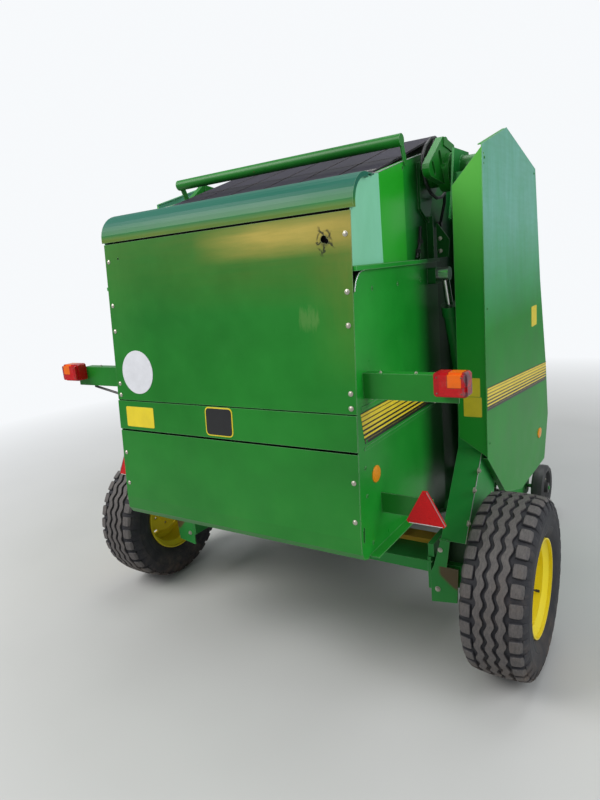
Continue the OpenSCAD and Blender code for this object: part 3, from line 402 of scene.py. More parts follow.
def oil_and_shade_stain(f):
    """Painted shade with oil and chaff dust, where the sheets keep the rain and light off."""
    x, y, z = f.axes()
    side = f.math("ABSOLUTE", x)
    patch = f.noise(5, 5, 0.6)
    rearward = f.kept(0 - f.facing()[1], 0.5, 0.8)
    # near-black painted shade on faces inside the shields, partly oil grime
    inside = f.kept(0.80 - side, 0.0, 0.05) * f.kept(z, 0.46, 0.62)
    inside = inside * f.kept(y, -0.02 - MID, 0.14 - MID) * f.kept((1.15 - MID) - y, 0.0, 0.15)
    inside = inside * (1 - rearward) * f.kept(2.00 - z, 0.0, 0.10)
    f.lay(f.kept(inside * (0.62 + patch * 0.45)), OIL_AND_SHADE)
    # paint gone from a corner of the plate under each post
    foot = f.kept(side, 0.745, 0.760) * f.kept(z, 0.330, 0.350) * (y < -0.085 - MID)
    foot = foot * f.kept((z - 0.395) * 1.1 + side - 0.775 + patch * 0.05, 0.0, 0.02)
    f.lay(foot * (z < 0.437) * 0.9, (0.115, 0.050, 0.026))


def grime_and_shade_paint(name, colour):
    """Paint on the frame and running gear: oily, chipped and dusty, with painted shade inside the
    shields.
    """
    return sheet_paint(name, colour, gloss=0.38, sun=0.2, dust=0.55, wear=0.5,
                       stains_and_light=oil_and_shade_stain)


def tread_rubber(name, colour):
    """Tyre rubber: dark in the grooves, grey and scuffed on the worn faces, dusty low."""
    f = Finish(name)
    z = f.axes()[2]
    worn = Value(f, f.node("ShaderNodeAttribute", {"attribute_name": "wear"}).outputs["Fac"])
    patch = f.noise(14, 5, 0.65)
    fine = f.noise(160, 4, 0.65)
    scuff = f.noise(55, 5, 0.7, f.stretched((2.6, 1, 1)))
    f.base = f.mix(f.kept(patch, 0.3, 0.7), colour, scaled(colour, 1.7, 0.004))
    face = f.mix(f.kept(scuff, 0.30, 0.72), (0.060, 0.054, 0.056), (0.128, 0.115, 0.110))
    f.lay(f.kept(worn * (0.55 + scuff * 0.65), 0.22, 0.80), face)
    mud = f.kept(0.22 - z, 0.0, 0.22) * f.kept(patch, 0.38, 0.62)
    dust = f.kept(patch * 0.8 + fine * 0.4, 0.62, 0.95) * 0.45
    f.lay(f.kept(mud * 0.8 + dust), MUD)
    rough = f.kept(0.62 + fine * 0.2 + mud * 0.2 - worn * 0.06)
    return f.surface(rough, fine * 0.5 + scuff * 0.4, 0.35, 0.0015)


def belting(name, colour):
    """Smooth rubber belts, polished by the crop, with pale frayed edges."""
    f = Finish(name)
    patch = f.noise(4, 5, 0.6)
    streak = f.noise(26, 5, 0.7, f.stretched((9, 1, 1)))
    weave = f.noise(260, 2, 0.5, f.stretched((2.5, 1, 1)))
    f.base = f.mix(f.kept(patch, 0.35, 0.65), colour, scaled(colour, 1.6, 0.003))
    f.lay(f.kept(streak, 0.52, 0.72) * 0.4, (0.040, 0.034, 0.056))
    edge = f.edges(0.005)
    f.lay(f.kept(edge * (0.4 + streak * 1.2), 0.3, 0.8) * 0.7, (0.20, 0.17, 0.15))
    chaff = f.kept(f.noise(48, 6, 0.8), 0.69, 0.74)
    f.lay(chaff * 0.6, CHAFF)
    return f.surface(f.kept(0.56 + patch * 0.2 + chaff * 0.3), weave * 0.6 + streak * 0.3,
                     0.3, 0.001, **{"Specular IOR Level": 0.24})


def bare_metal(name, tone=(0.42, 0.41, 0.40), rusty=0.4, rough=0.34):
    """Steel worn bright where it rubs, brown in between."""
    f = Finish(name)
    patch = f.noise(22, 6, 0.68)
    fine = f.noise(190, 4, 0.6)
    rust = f.kept(patch * 0.9 + fine * 0.3, 0.60, 0.78) * rusty
    f.base = f.mix(f.kept(fine, 0.3, 0.7), scaled(tone, 0.72), tone)
    f.lay(rust, BROWN_STEEL)
    metal = f.kept(0.95 - rust * 0.9)
    return f.surface(f.kept(rough + fine * 0.15 + rust * 0.4), fine * 0.5 + rust * 0.4,
                     0.3, 0.0008, Metallic=metal)


def plain_black(name, tone=0.018, gloss=0.42):
    """Black enamel or moulded plastic, greyed by dust."""
    f = Finish(name)
    patch = f.noise(12, 5, 0.62)
    fine = f.noise(210, 3, 0.6)
    f.base = f.mix(f.kept(patch, 0.3, 0.75), (tone, tone, tone * 1.1), (tone * 2.4 + 0.01,) * 3)
    dust = f.kept(patch * 0.7 + fine * 0.5, 0.68, 0.95)
    f.lay(dust * 0.4, (0.20, 0.165, 0.12))
    return f.surface(f.kept(gloss + fine * 0.15 + dust * 0.3), fine, 0.25, 0.0008)


def lamp_lens(name, red, amber):
    """Ribbed lens in two colours: amber at the upper outer part of each lamp."""
    f = Finish(name)
    x, _, z = f.axes()
    across = f.math("ABSOLUTE", x)
    seam_x, ledge_z = 0.975, 1.335
    turn = (across > seam_x) * (across < 1.021) * (z > ledge_z)
    fine = f.noise(130, 3, 0.6)
    f.base = f.mix(turn, f.mix(f.kept(fine, 0.3, 0.7), scaled(red, 0.78), red),
                   f.mix(f.kept(f.noise(24, 3, 0.5), 0.3, 0.7), scaled(amber, 0.85), amber))
    inner = f.kept(0.950 - across, 0.0, 0.004)
    f.lay(inner * 0.35, (0.20, 0.002, 0.004))
    seam = f.kept(1 - f.math("ABSOLUTE", across - seam_x) * 500) * (z > ledge_z)
    ledge = f.kept(1 - f.math("ABSOLUTE", z - ledge_z) * 500) * (across > seam_x)
    f.lay(f.kept(seam + ledge) * 0.7, (0.10, 0.004, 0.004))
    end = f.kept(across, 1.022, 1.031) * f.kept(f.noise(40, 5, 0.7), 0.40, 0.52)
    f.lay(end * 0.85, (0.085, 0.080, 0.10))
    dust = f.kept(f.noise(33, 5, 0.65), 0.52, 0.8) * 0.35
    f.lay(dust * 0.6, (0.30, 0.16, 0.12))
    ribs = f.math("SINE", across * 1250) * 0.5 + f.math("SINE", z * 1250) * 0.5
    return f.surface(f.kept(0.16 + dust * 0.7 + end * 0.3), ribs * 0.6 + fine * 0.2,
                     0.25, 0.0006, **{"Specular IOR Level": 0.3, "Coat Weight": 0.15})


def reflective(name, colour):
    """Moulded reflector: small prisms under a clear face."""
    f = Finish(name)
    prism = f.cells(330)
    patch = f.noise(28, 4, 0.6)
    f.base = f.mix(f.kept(prism, 0.1, 0.6), scaled(colour, 1.15), scaled(colour, 0.72))
    f.lay(f.kept(patch, 0.60, 0.85) * 0.25, scaled(colour, 0.6, 0.015))
    return f.surface(f.kept(0.22 + patch * 0.15), prism, 0.3, 0.0006,
                     **{"Specular IOR Level": 0.25})


def decal(name, colour, worn=(0.25, 0.30, 0.14), amount=0.35):
    """Printed film: a little scuffed, with grime at the rim."""
    f = Finish(name)
    patch = f.noise(17, 5, 0.65)
    fine = f.noise(140, 4, 0.65)
    f.base = f.mix(f.kept(patch, 0.3, 0.7), scaled(colour, 0.88), colour)
    scuff = f.kept(f.noise(70, 6, 0.78), 0.62, 0.70) * f.kept(patch, 0.42, 0.60)
    f.lay(scuff * amount, worn)
    f.lay(f.kept(f.edges(0.003) * (0.3 + patch), 0.4, 0.9) * 0.4, worn)
    return f.surface(f.kept(0.30 + fine * 0.12 + scuff * 0.3), fine, 0.15, 0.0004)


def stripe_film(name, yellow):
    """Yellow film with black lines that grow wider downwards, on its own UV map."""
    f = Finish(name)
    uv = f.node("ShaderNodeSeparateXYZ", None, {0: f.node("ShaderNodeTexCoord").outputs["UV"]})
    across = Value(f, uv.outputs[1])
    patch = f.noise(17, 5, 0.65)
    fine = f.noise(140, 4, 0.65)
    f.base = f.mix(f.kept(patch, 0.3, 0.7), scaled(yellow, 0.86), yellow)
    beat = f.math("FRACT", across * 6.6 + 0.30)
    line = beat < 0.66 - across * 0.56
    border = f.kept((across < 0.10) + (across > 0.965))
    f.lay(f.kept(line + border), (0.010, 0.010, 0.012))
    scuff = f.kept(f.noise(70, 6, 0.78), 0.63, 0.70) * f.kept(patch, 0.42, 0.60)
    f.lay(scuff * 0.5, (0.10, 0.24, 0.05))
    return f.surface(f.kept(0.30 + fine * 0.12 + scuff * 0.3), fine, 0.15, 0.0004)


def build_finishes():
    """Every finish that the baler uses, by name."""
    s = paint_settings()
    green = tuple(s.body_colour)
    yellow = tuple(s.trim_colour)
    side = (green[0] * 1.2, green[1] * 1.48, green[2] * 1.6)
    dim = (green[0] * 1.2, green[1] * 1.45, green[2] * 2.8)
    lush = (green[0] * 0.5, green[1] * 1.30, green[2] * 1.2)
    return {
        "rear": sheet_paint("rear_enamel", green, wear=0.5, stains_and_light=rear_stains_and_reflection),
        "band": sheet_paint("band_enamel", green, wear=0.6),
        "cover": sheet_paint("cover_enamel", green, gloss=0.36, sun=0.1, chips=0.6,
                             stains_and_light=cover_reflection_and_ochre),
        "side": sheet_paint("side_enamel", side, wear=0.7, chips=0.4, stains_and_light=side_painted_light),
        "shield": sheet_paint("shield_enamel", lush, gloss=0.30, sun=0.12, dust=0.18, wear=0.7,
                              chips=0.1, shine=0.22, stains_and_light=shield_painted_light),
        "green": sheet_paint("body_enamel", green, gloss=0.32, sun=0.2, dust=0.4),
        "frame": grime_and_shade_paint("frame_enamel", dim),
        # dark copy of the frame paint: painted shade for the webs at the posts' feet
        "shaded": grime_and_shade_paint("shaded_enamel", (0.004, 0.050, 0.014)),
        "yellow": sheet_paint("wheel_enamel", tuple(c * 1.1 for c in yellow), gloss=0.26, dust=0.55),
        "bar": sheet_paint("bar_enamel", (0.92, 0.52, 0.05), gloss=0.4, dust=0.6, wear=0.6),
        "tread": tread_rubber("tyre_rubber", tuple(s.rubber_colour)),
        "belt": belting("belt_rubber", tuple(s.belt_colour)),
        "steel": bare_metal("worn_steel"),
        "zinc": bare_metal("zinc_plate", (0.60, 0.58, 0.50), 0.25, 0.36),
        "rusty": bare_metal("rusted_steel", (0.22, 0.17, 0.13), 1.0, 0.55),
        "chrome": bare_metal("rod_chrome", (0.78, 0.79, 0.80), 0.05, 0.10),
        "chain": bare_metal("oiled_chain", (0.20, 0.18, 0.16), 0.7, 0.30),
        "black": plain_black("black_enamel"),
        "plastic": plain_black("guard_plastic", 0.022, 0.5),
        "hose": plain_black("hose_rubber", 0.012, 0.38),
        "lens": lamp_lens("lamp_lens", tuple(s.lens_colour), tuple(s.amber_colour)),
        "red": reflective("red_reflector", (0.66, 0.001, 0.003)),
        "amber": reflective("amber_reflector", (0.93, 0.33, 0.008)),
        "white": decal("white_film", (0.74, 0.75, 0.80), (0.30, 0.34, 0.30), 0.25),
        "plate": decal("yellow_film", (0.80, 0.63, 0.02)),
        "dark": decal("black_film", (0.012, 0.012, 0.014), (0.10, 0.13, 0.08), 0.3),
        "stripes": stripe_film("stripe_film", (0.86, 0.66, 0.03)),
        # pale metal for the edge lines, partly a painted highlight, and for the triangles' rims
        "pale": bare_metal("bare_edge", (0.58, 0.60, 0.60), 0.3, 0.4),
        "weld": sheet_paint("weld_enamel", dim, gloss=0.4, dust=0.9, wear=0.9),
    }


FINISH = {}


def dress(node, finish):
    """Gives a CAD node's object a better finish."""
    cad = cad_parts[node]
    cad.data.materials.clear()
    cad.data.materials.append(FINISH[finish])


# Modelling

SIDES = ((1, "right"), (-1, "left"))


def activate(obj):
    """Leaves only this object selected, and active."""
    bpy.ops.object.select_all(action="DESELECT")
    obj.select_set(True)
    bpy.context.view_layer.objects.active = obj
    return obj


def linked(name, data):
    """A new object in the scene for a mesh, curve, light or camera."""
    obj = bpy.data.objects.new(name, data)
    bpy.context.scene.collection.objects.link(obj)
    return obj


def begin(add, **settings):
    """Adds a primitive with nothing else selected and returns it."""
    bpy.ops.object.select_all(action="DESELECT")
    add(**settings)
    return bpy.context.object


def every(part):
    return True


def top_faces(face):
    return face.normal.z > 0.9


def end_faces(face):
    return abs(face.normal.z) > 0.9


def pick(obj, mode, test):
    """Goes into edit mode with only what passes the test selected."""
    bpy.ops.object.mode_set(mode="EDIT")
    bpy.ops.mesh.select_mode(type=mode)
    bpy.ops.mesh.select_all(action="DESELECT")
    mesh = bmesh.from_edit_mesh(obj.data)
    for part in {"VERT": mesh.verts, "FACE": mesh.faces}[mode]:
        part.select = test(part)
    mesh.select_flush(True)
    bmesh.update_edit_mesh(obj.data)


def leave():
    bpy.ops.object.mode_set(mode="OBJECT")


def outward(obj):
    """Turns every face of a closed shape outwards."""
    pick(obj, "FACE", every)
    bpy.ops.mesh.normals_make_consistent(inside=False)
    leave()
    return obj


def divided(obj, cuts):
    pick(obj, "FACE", every)
    bpy.ops.mesh.subdivide(number_cuts=cuts)
    leave()
    return obj


def inset(obj, test, *steps):
    """Insets the faces that pass the test, once for each (thickness, depth)."""
    pick(obj, "FACE", test)
    for thickness, depth in steps:
        bpy.ops.mesh.inset(thickness=thickness, depth=depth)
    leave()
    return obj


def turned(sides, radius, depth, z, *insets, test=top_faces):
    """An upright disc or bar whose end is inset by (thickness, depth) steps."""
    obj = begin(bpy.ops.mesh.primitive_cylinder_add, vertices=sides, radius=radius, depth=depth,
                location=(0, 0, z))
    return inset(obj, test, *insets)


def joined(objs):
    activate(objs[0])
    for obj in objs[1:]:
        obj.select_set(True)
    if len(objs) > 1:
        bpy.ops.object.join()
    return bpy.context.object


def copies(model, places):
    """A copy of the model's mesh at each place, joined to one object; the model goes."""
    made = []
    for place in places:
        mesh = model.data.copy()
        mesh.transform(place)
        made.append(linked(model.name, mesh))
    bpy.data.objects.remove(model)
    return joined(made)


def oriented(point, normal, size=1.0, up=(0, 0, 1), spin=0.0):
    """The place of a model whose own Z axis stands along normal."""
    n = Vector(normal).normalized()
    u = Vector(up)
    if abs(n.dot(u.normalized())) > 0.98:
        u = Vector((0, 1, 0))
    across = u.cross(n).normalized()
    along = n.cross(across)
    turn = Matrix((across, along, n)).transposed().to_4x4()
    return (Matrix.Translation(Vector(point)) @ turn @ Matrix.Rotation(spin, 4, "Z")
            @ Matrix.Scale(size, 4))


def placed(obj, point, normal, up=(0, 0, 1)):
    obj.data.transform(oriented(point, normal, 1.0, up))
    return obj


def finished(obj, name, body, finish, smooth=35.0):
    """Puts the place into the mesh, smooths it, paints it and lets it ride."""
    activate(obj)
    bpy.ops.object.transform_apply(location=True, rotation=True, scale=True)
    bpy.ops.object.shade_smooth_by_angle(angle=math.radians(smooth))
    obj.name = obj.data.name = name
    obj.data.materials.clear()
    obj.data.materials.append(FINISH[finish])
    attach(obj, body)
    return obj


def hex_bolt():
    """A bolt head of radius 1 on its washer, with the thread's end standing proud."""
    return joined([turned(14, 1.25, 0.22, 0.11, (0.12, 0.04)),
                   turned(6, 1.0, 0.62, 0.5, (0.16, 0.08)),
                   turned(8, 0.48, 0.40, 0.98, (0.10, 0.04))])


def dome_bolt():
    """A round-headed bolt of radius 1, low and smooth."""
    head = begin(bpy.ops.mesh.primitive_uv_sphere_add, segments=14, ring_count=8, radius=1.0)
    pick(head, "FACE", every)
    bpy.ops.mesh.bisect(plane_co=(0, 0, 0), plane_no=(0, 0, 1), use_fill=True,
                        clear_inner=True)
    leave()
    for vert in head.data.vertices:
        vert.co.z *= 0.55
    return joined([head, turned(14, 1.14, 0.14, 0.07, (0.10, 0.03))])


def fastenings(name, body, model, spots, finish="zinc"):
    """Copies of one bolt at (point, normal, radius) spots."""
    rng = random.Random(name)
    places = [oriented(p, n, r, spin=rng.uniform(0, 1.0)) for p, n, r in spots]
    return finished(copies(model(), places), name, body, finish, 30)


def sideways(side, x, places, radius):
    """Spots for bolts that stand out of an upright sheet at x, one at each (y, z)."""
    return [(at(side * x, y, z), (side, 0, 0), radius) for y, z in places]


def ring_angles(count, first):
    return [math.radians(360 / count * k + first) for k in range(count)]


def flat_shape(corners, thick):
    """A thin piece with these corners, drawn in X and Y, with a small chamfer on top."""
    obj = begin(bpy.ops.mesh.primitive_circle_add, vertices=len(corners), radius=1.0,
                fill_type="NGON")
    for vert, corner in zip(obj.data.vertices, corners):
        vert.co = (*corner, 0)
    outward(obj)
    if obj.data.polygons[0].normal.z < 0:
        obj.data.flip_normals()
    pick(obj, "FACE", every)
    bpy.ops.mesh.extrude_region_move(TRANSFORM_OT_translate={"value": (0, 0, thick * 0.6)})
    bpy.ops.mesh.inset(thickness=thick * 0.4, depth=thick * 0.4)
    leave()
    return outward(obj)


def rounded_corners(w, h, r, steps=4):
    """The corners of a w by h plate with rounded corners, round the middle."""
    out = []
    for x, y, first in ((1, 1, 0), (-1, 1, 90), (-1, -1, 180), (1, -1, 270)):
        for k in range(steps + 1):
            a = math.radians(first + 90 * k / steps)
            out.append((x * (w / 2 - r) + r * math.cos(a), y * (h / 2 - r) + r * math.sin(a)))
    return out


def oval_corners(w, h, n=32):
    return [(w / 2 * math.cos(2 * math.pi * k / n), h / 2 * math.sin(2 * math.pi * k / n))
            for k in range(n)]


def plate(name, body, finish, corners, thick, point, normal, smooth=35.0):
    """A thin piece laid on a surface."""
    finished(placed(flat_shape(corners, thick), point, normal), name, body, finish, smooth)


def reflector(name, body, width, height, inner, point, side):
    """An oval amber reflector whose face rises in two steps."""
    oval = flat_shape(oval_corners(width, height), 0.004)
    step = inner * 0.35
    inset(oval, top_faces, (step, 0.00165), (step, 0.00105))
    finished(placed(oval, point, (side, 0, 0)), name, body, "amber", 40)


def route(points, side=1):
    """The points of a rod, mirrored to the left where side is -1."""
    return [at(side * x, y, z) for x, y, z in points]


def rod(points, radius):
    """A round bead, wire or pipe through points, closed at both ends."""
    curve = bpy.data.curves.new("rod", "CURVE")
    curve.dimensions = "3D"
    curve.bevel_depth = radius
    curve.bevel_resolution = 1
    curve.use_fill_caps = True
    line = curve.splines.new("POLY")
    line.points.add(len(points) - 1)
    for point, where in zip(line.points, points):
        point.co = (*where, 1.0)
    activate(linked("rod", curve))
    bpy.ops.object.convert(target="MESH")
    obj = bpy.context.object
    pick(obj, "FACE", every)
    bpy.ops.mesh.remove_doubles(threshold=0.00005)
    bpy.ops.mesh.normals_make_consistent(inside=False)
    leave()
    return obj


def bar(name, body, finish, radius, points, side=1):
    """A finished rod through points that are mirrored to the left for side -1."""
    finished(rod(route(points, side), radius), name, body, finish)


def weld_bead(name, points, radius):
    """A bead whose width swells and shrinks along the seam."""
    rng = random.Random(name)
    fine = []
    for a, b in zip(points, points[1:]):
        n = max(2, int((b - a).length / 0.006))
        fine += [a.lerp(b, k / n) for k in range(n)]
    fine.append(points[-1])
    obj = rod(fine, radius)
    for vert in obj.data.vertices:
        near = min(range(len(fine)), key=lambda k: (fine[k] - vert.co).length_squared)
        swell = 1 + 0.16 * math.sin(near * 1.9) + rng.uniform(-0.05, 0.05)
        vert.co = fine[near] + (vert.co - fine[near]) * swell
    return obj


# The treaded tyres

SECTION = [(0.0, 0.368), (0.030, 0.3678), (0.062, 0.3665), (0.100, 0.3610), (0.1130, 0.3520),
           (0.1235, 0.3360), (0.1290, 0.3180), (0.1310, 0.3060), (0.1302, 0.3040),
           (0.1308, 0.2860), (0.1302, 0.2660), (0.1275, 0.2560), (0.1285, 0.2535),
           (0.1262, 0.2420), (0.1214, 0.2320), (0.1140, 0.2190), (0.1056, 0.2064)]
GIRTH = 2 * math.pi * WHEEL_R
RIB_SPACING = 0.0430
SHOULDER = 0.0935      # a shoulder block's middle, measured over the section from the crown
LUG = 0.1345           # a sidewall lug's middle, measured likewise


def section_point(s):
    """Where distance s from the crown lies on the section, and which way it faces."""
    side = 1 if s >= 0 else -1
    left = abs(s)
    for (v0, r0), (v1, r1) in zip(SECTION, SECTION[1:]):
        length = math.hypot(v1 - v0, r1 - r0)
        if left <= length or (v1, r1) == SECTION[-1]:
            t = left / length
            return (side * (v0 + (v1 - v0) * t), r0 + (r1 - r0) * t,
                    side * (r0 - r1) / length, (v1 - v0) / length)
        left -= length


def wrap(mesh, wheel_x):
    """Lays flat tread, drawn as (round, across, height), on the tyre."""
    for vert in mesh.vertices:
        u, s, h = vert.co
        v, r, nv, nr = section_point(s)
        v, r = v + nv * h, r + nr * h
        a = u / WHEEL_R
        vert.co = at(wheel_x + v, r * math.sin(a), WHEEL_R + r * math.cos(a))


def mark_wear(mesh, worn, limit=0.0):
    """Writes how worn each vertex above the limit is, for the rubber's finish."""
    layer = mesh.attributes.new("wear", "FLOAT", "POINT")
    for vert in mesh.vertices:
        layer.data[vert.index].value = worn if vert.co.z > limit else 0.0


def tyre_rib(centre, s, wheel_x):
    rib = begin(bpy.ops.mesh.primitive_grid_add, x_subdivisions=s.tread_pitches * 6,
                y_subdivisions=2, size=1)
    pick(rib, "FACE", every)
    bpy.ops.mesh.extrude_region_move(TRANSFORM_OT_translate={"value": (0, 0, 1)})
    bpy.ops.mesh.normals_make_consistent(inside=False)
    leave()
    for vert in rib.data.vertices:
        u, v, h = vert.co
        wave = math.sin(u * s.tread_pitches * 2 * math.pi)
        shift = s.rib_wave * max(-1, min(1, 1.5 * wave))
        wide = s.rib_width * (1.12 if h < 0.5 else 0.94)
        vert.co = (u * GIRTH, centre + shift + v * wide, (h - 0.08) * s.tread_depth)
    mark_wear(rib.data, 1.0, s.tread_depth * 0.8)
    wrap(rib.data, wheel_x)
    pick(rib, "VERT", every)
    bpy.ops.mesh.remove_doubles(threshold=0.0001)
    leave()
    return rib


def tyre_blocks(side, s, wheel_x):
    """One shoulder block with its lug on the sidewall, copied round the tyre."""
    pitch = GIRTH / s.tread_pitches
    block = divided(begin(bpy.ops.mesh.primitive_cube_add, size=1), 2)
    for vert in block.data.vertices:
        u, v, h = vert.co
        top = h > 0.4
        squeeze = 0.88 if top else (1.0 if h > -0.3 else 1.06)
        corner = 0.93 if abs(u) > 0.4 and abs(v) > 0.4 else 1.0
        reach = 0.0235 if v > 0.4 else 0.0245
        height = (h + 0.42) / 0.92 * s.tread_depth if not top else s.tread_depth
        if v > 0.4:
            height = min(height, s.tread_depth * 0.82)
        vert.co = (u * pitch * 0.76 * squeeze * corner,
                   side * (SHOULDER + v * 2 * reach * squeeze * corner), height)
    mark_wear(block.data, 1.0, s.tread_depth * 0.75)
    lug = divided(begin(bpy.ops.mesh.primitive_cube_add, size=1), 1)
    for vert in lug.data.vertices:
        u, v, h = vert.co
        thick = 0.0052 * (0.5 - v) + 0.0012
        vert.co = (u * pitch * (0.60 - 0.10 * v) * (0.86 if h > 0.4 else 1.0),
                   side * (LUG + v * 0.033), (h + 0.42) * thick)
    mark_wear(lug.data, 0.25, 0.001)
    model = joined([block, lug])
    if side < 0:
        model.data.flip_normals()
    offset = 0.25 if side > 0 else 0.75
    places = [Matrix.Translation(((k + offset) * pitch, 0, 0)) for k in range(s.tread_pitches)]
    ring = copies(model, places)
    wrap(ring.data, wheel_x)
    return outward(ring)


def tyre_carcass(wheel_x):
    """The section spun round the axle."""
    line = [(-v, r) for v, r in reversed(SECTION)] + SECTION[1:]
    mesh = bpy.data.meshes.new("carcass")
    centre = at(wheel_x, 0, WHEEL_R)
    mesh.from_pydata([centre + Vector((v, 0, r)) for v, r in line],
                     [(k, k + 1) for k in range(len(line) - 1)], [])
    obj = activate(linked("carcass", mesh))
    pick(obj, "VERT", every)
    bpy.ops.mesh.spin(steps=96, angle=2 * math.pi, center=centre, axis=(1, 0, 0))
    bpy.ops.mesh.select_all(action="SELECT")
    bpy.ops.mesh.remove_doubles(threshold=0.0001)
    bpy.ops.mesh.normals_make_consistent(inside=False)
    leave()
    if sum(p.normal.x * (1 if p.center.x > wheel_x else -1) for p in obj.data.polygons) < 0:
        obj.data.flip_normals()
    mark_wear(obj.data, 0.0)
    return obj


class BALER_OT_tyres(bpy.types.Operator):
    """Two road tyres with three wavy ribs and shoulder blocks"""
    bl_idname = "baler.tyres"
    bl_label = "Tyres"

    def execute(self, context):
        s = context.scene.baler_wheels
        for side, name in SIDES:
            wheel_x = side * WHEEL_X
            parts = [tyre_carcass(wheel_x)]
            parts += [tyre_rib(k * RIB_SPACING, s, wheel_x) for k in (-1, 0, 1)]
            parts += [tyre_blocks(1, s, wheel_x), tyre_blocks(-1, s, wheel_x)]
            tyre = finished(joined(parts), "road_tyre_" + name, "wheel_" + name, "tread", 28)
            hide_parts("tyre_" + name)
        return {"FINISHED"}


def on_wheel(side, out, radius=0.0, angle=0.0):
    """A point of a road wheel, out metres beyond its middle."""
    return at(side * (WHEEL_X + out), radius * math.sin(angle), WHEEL_R + radius * math.cos(angle))


class BALER_OT_wheel_fittings(bpy.types.Operator):
    """Wheel nuts, hub caps and valves"""
    bl_idname = "baler.wheel_fittings"
    bl_label = "Wheel Fittings"

    def execute(self, context):
        for side, name in SIDES:
            body = "wheel_" + name
            spots = [(on_wheel(side, 0.004, 0.086, a), (side, 0, 0), 0.012)
                     for a in ring_angles(5, 36)]
            fastenings("wheel_nuts_" + name, body, hex_bolt, spots)
            cap = turned(32, 0.040, 0.020, 0, (0.005, 0.005), (0.012, 0.002))
            finished(placed(cap, on_wheel(side, 0.052), (side, 0, 0)), "hub_cap_" + name, body,
                     "yellow")
            base, tip = on_wheel(side, 0.030, 0.150, 2.2), on_wheel(side, 0.075, 0.162, 2.2)
            valve = joined([rod([base, base.lerp(tip, 0.7)], 0.0045),
                            rod([base.lerp(tip, 0.66), tip], 0.006)])
            finished(valve, "tyre_valve_" + name, body, "hose")
        return {"FINISHED"}


# Fastenings, edges and signs on the body

REAR_NORMAL = (0, -1, 0.0738)
REAR_BOLT_X = 0.616
REAR_BOLT_ROWS = (1.857, 1.660, 1.543, 1.300, 1.246, 0.968, 0.818)
FLANGE_X = 0.662       # middle of the flange at the gate's foot and of the shelf's hinge plate
LAMP_ARM_Y = -0.447
LENS_Y = -0.5322
TRIANGLE_Y = -0.3886
FILM_GAP = 0.0001      # a film or reflector stands this far off its sheet


def on_rear(x, z, lift=0.0):
    """A point on the tail gate's rear face, or lift metres behind it."""
    return at(x, rear_at(z) - lift, z)


class BALER_OT_gate_fittings(bpy.types.Operator):
    """Bolts, pale edge lines of painted highlight, and brackets on the tail gate"""
    bl_idname = "baler.gate_fittings"
    bl_label = "Tail Gate Fittings"

    def execute(self, context):
        spots = [(on_rear(x, z), REAR_NORMAL, 0.0088)
                 for x in (REAR_BOLT_X, -REAR_BOLT_X) for z in REAR_BOLT_ROWS]
        fastenings("rear_panel_bolts", "gate", dome_bolt, spots)
        spots = []
        sixths = [(k + 0.5) / 6 for k in range(6)]
        for side in (1, -1):
            spots += sideways(side, GATE_X, ((-0.495, 0.900), (-0.495, 1.010), (-0.470, 1.108),
                                             (-0.47, 0.70), (-0.35, 1.66), (-0.12, 1.66),
                                             (0.12, 1.66)), 0.0075)
            spots += sideways(side, 0.606, [(0.245, 2.090)], 0.009)
            spots += [(at(side * FLANGE_X, -0.507 + t * 0.357, 0.6545), (0, 0, -1), 0.007)
                      for t in sixths]
            spots += [(at(side * FLANGE_X, -0.15 + t * 0.45, 0.6555 - t * 0.13),
                       (0, -0.27, -0.96), 0.007) for t in sixths]
        fastenings("gate_side_bolts", "gate", dome_bolt, spots, "green")
        spots = [(at(side * x, LAMP_ARM_Y, z), (0, 0, up), radius)
                 for pair, z, up, radius in (((0.700, 0.835), 1.365, 1, 0.0055),
                                             ((0.660, 0.900), 1.270, -1, 0.007))
                 for side in (1, -1) for x in pair]
        spots += [(at(side * FLANGE_X, -0.374, z), (0, 1, 0), 0.007)
                  for side in (1, -1) for z in (0.805, 0.855)]
        fastenings("lamp_arm_bolts", "gate", hex_bolt, spots)
        for side, name in SIDES:
            # pale lines on worn bare edges, with a painted highlight: the rounded corner of the side
            # sheet, then its folded crown
            bend, centre_y = 0.0835, rear_at(1.73) + 0.0883
            corner = [at(side * (GATE_X + 0.0012), centre_y + bend * math.cos(a),
                         1.6455 + bend * math.sin(a))
                      for a in [math.radians(90 + 8.2 * k) for k in range(11)]]
            finished(rod(corner, 0.0022), "corner_edge_highlight_" + name, "gate", "pale")
            bar("crown_edge_highlight_" + name, "gate", "pale", 0.0020,
                ((0.6372, -0.294, 2.0655), (0.6372, -0.241, 2.0735), (0.6055, 0.074, 2.146),
                 (0.6055, 0.268, 2.1915)), side)
            gusset = flat_shape([(0.0, 0.0), (0.052, 0.0), (0.060, 0.075), (0.008, 0.150),
                                 (0.0, 0.150)], 0.005)
            gusset.data.transform(Matrix(((side, 0, 0, side * 0.646), (0, 0, 1, 0.3145 - MID),
                                          (0, 1, 0, 1.7455), (0, 0, 0, 1))))
            finished(outward(gusset), "shelf_gusset_" + name, "gate", "side")
            fastenings("gusset_bolts_" + name, "gate", hex_bolt,
                       [(at(side * FLANGE_X, 0.3135, z), (0, -1, 0), 0.008)
                        for z in (1.775, 1.83)])
            plate("hose_tab_" + name, "gate", "side",
                  ((-0.03, 0.0), (0.03, 0.0), (0.012, 0.085), (-0.012, 0.085)), 0.004,
                  at(side * 0.612, 0.215, 1.747), (side, 0, 0))
        return {"FINISHED"}


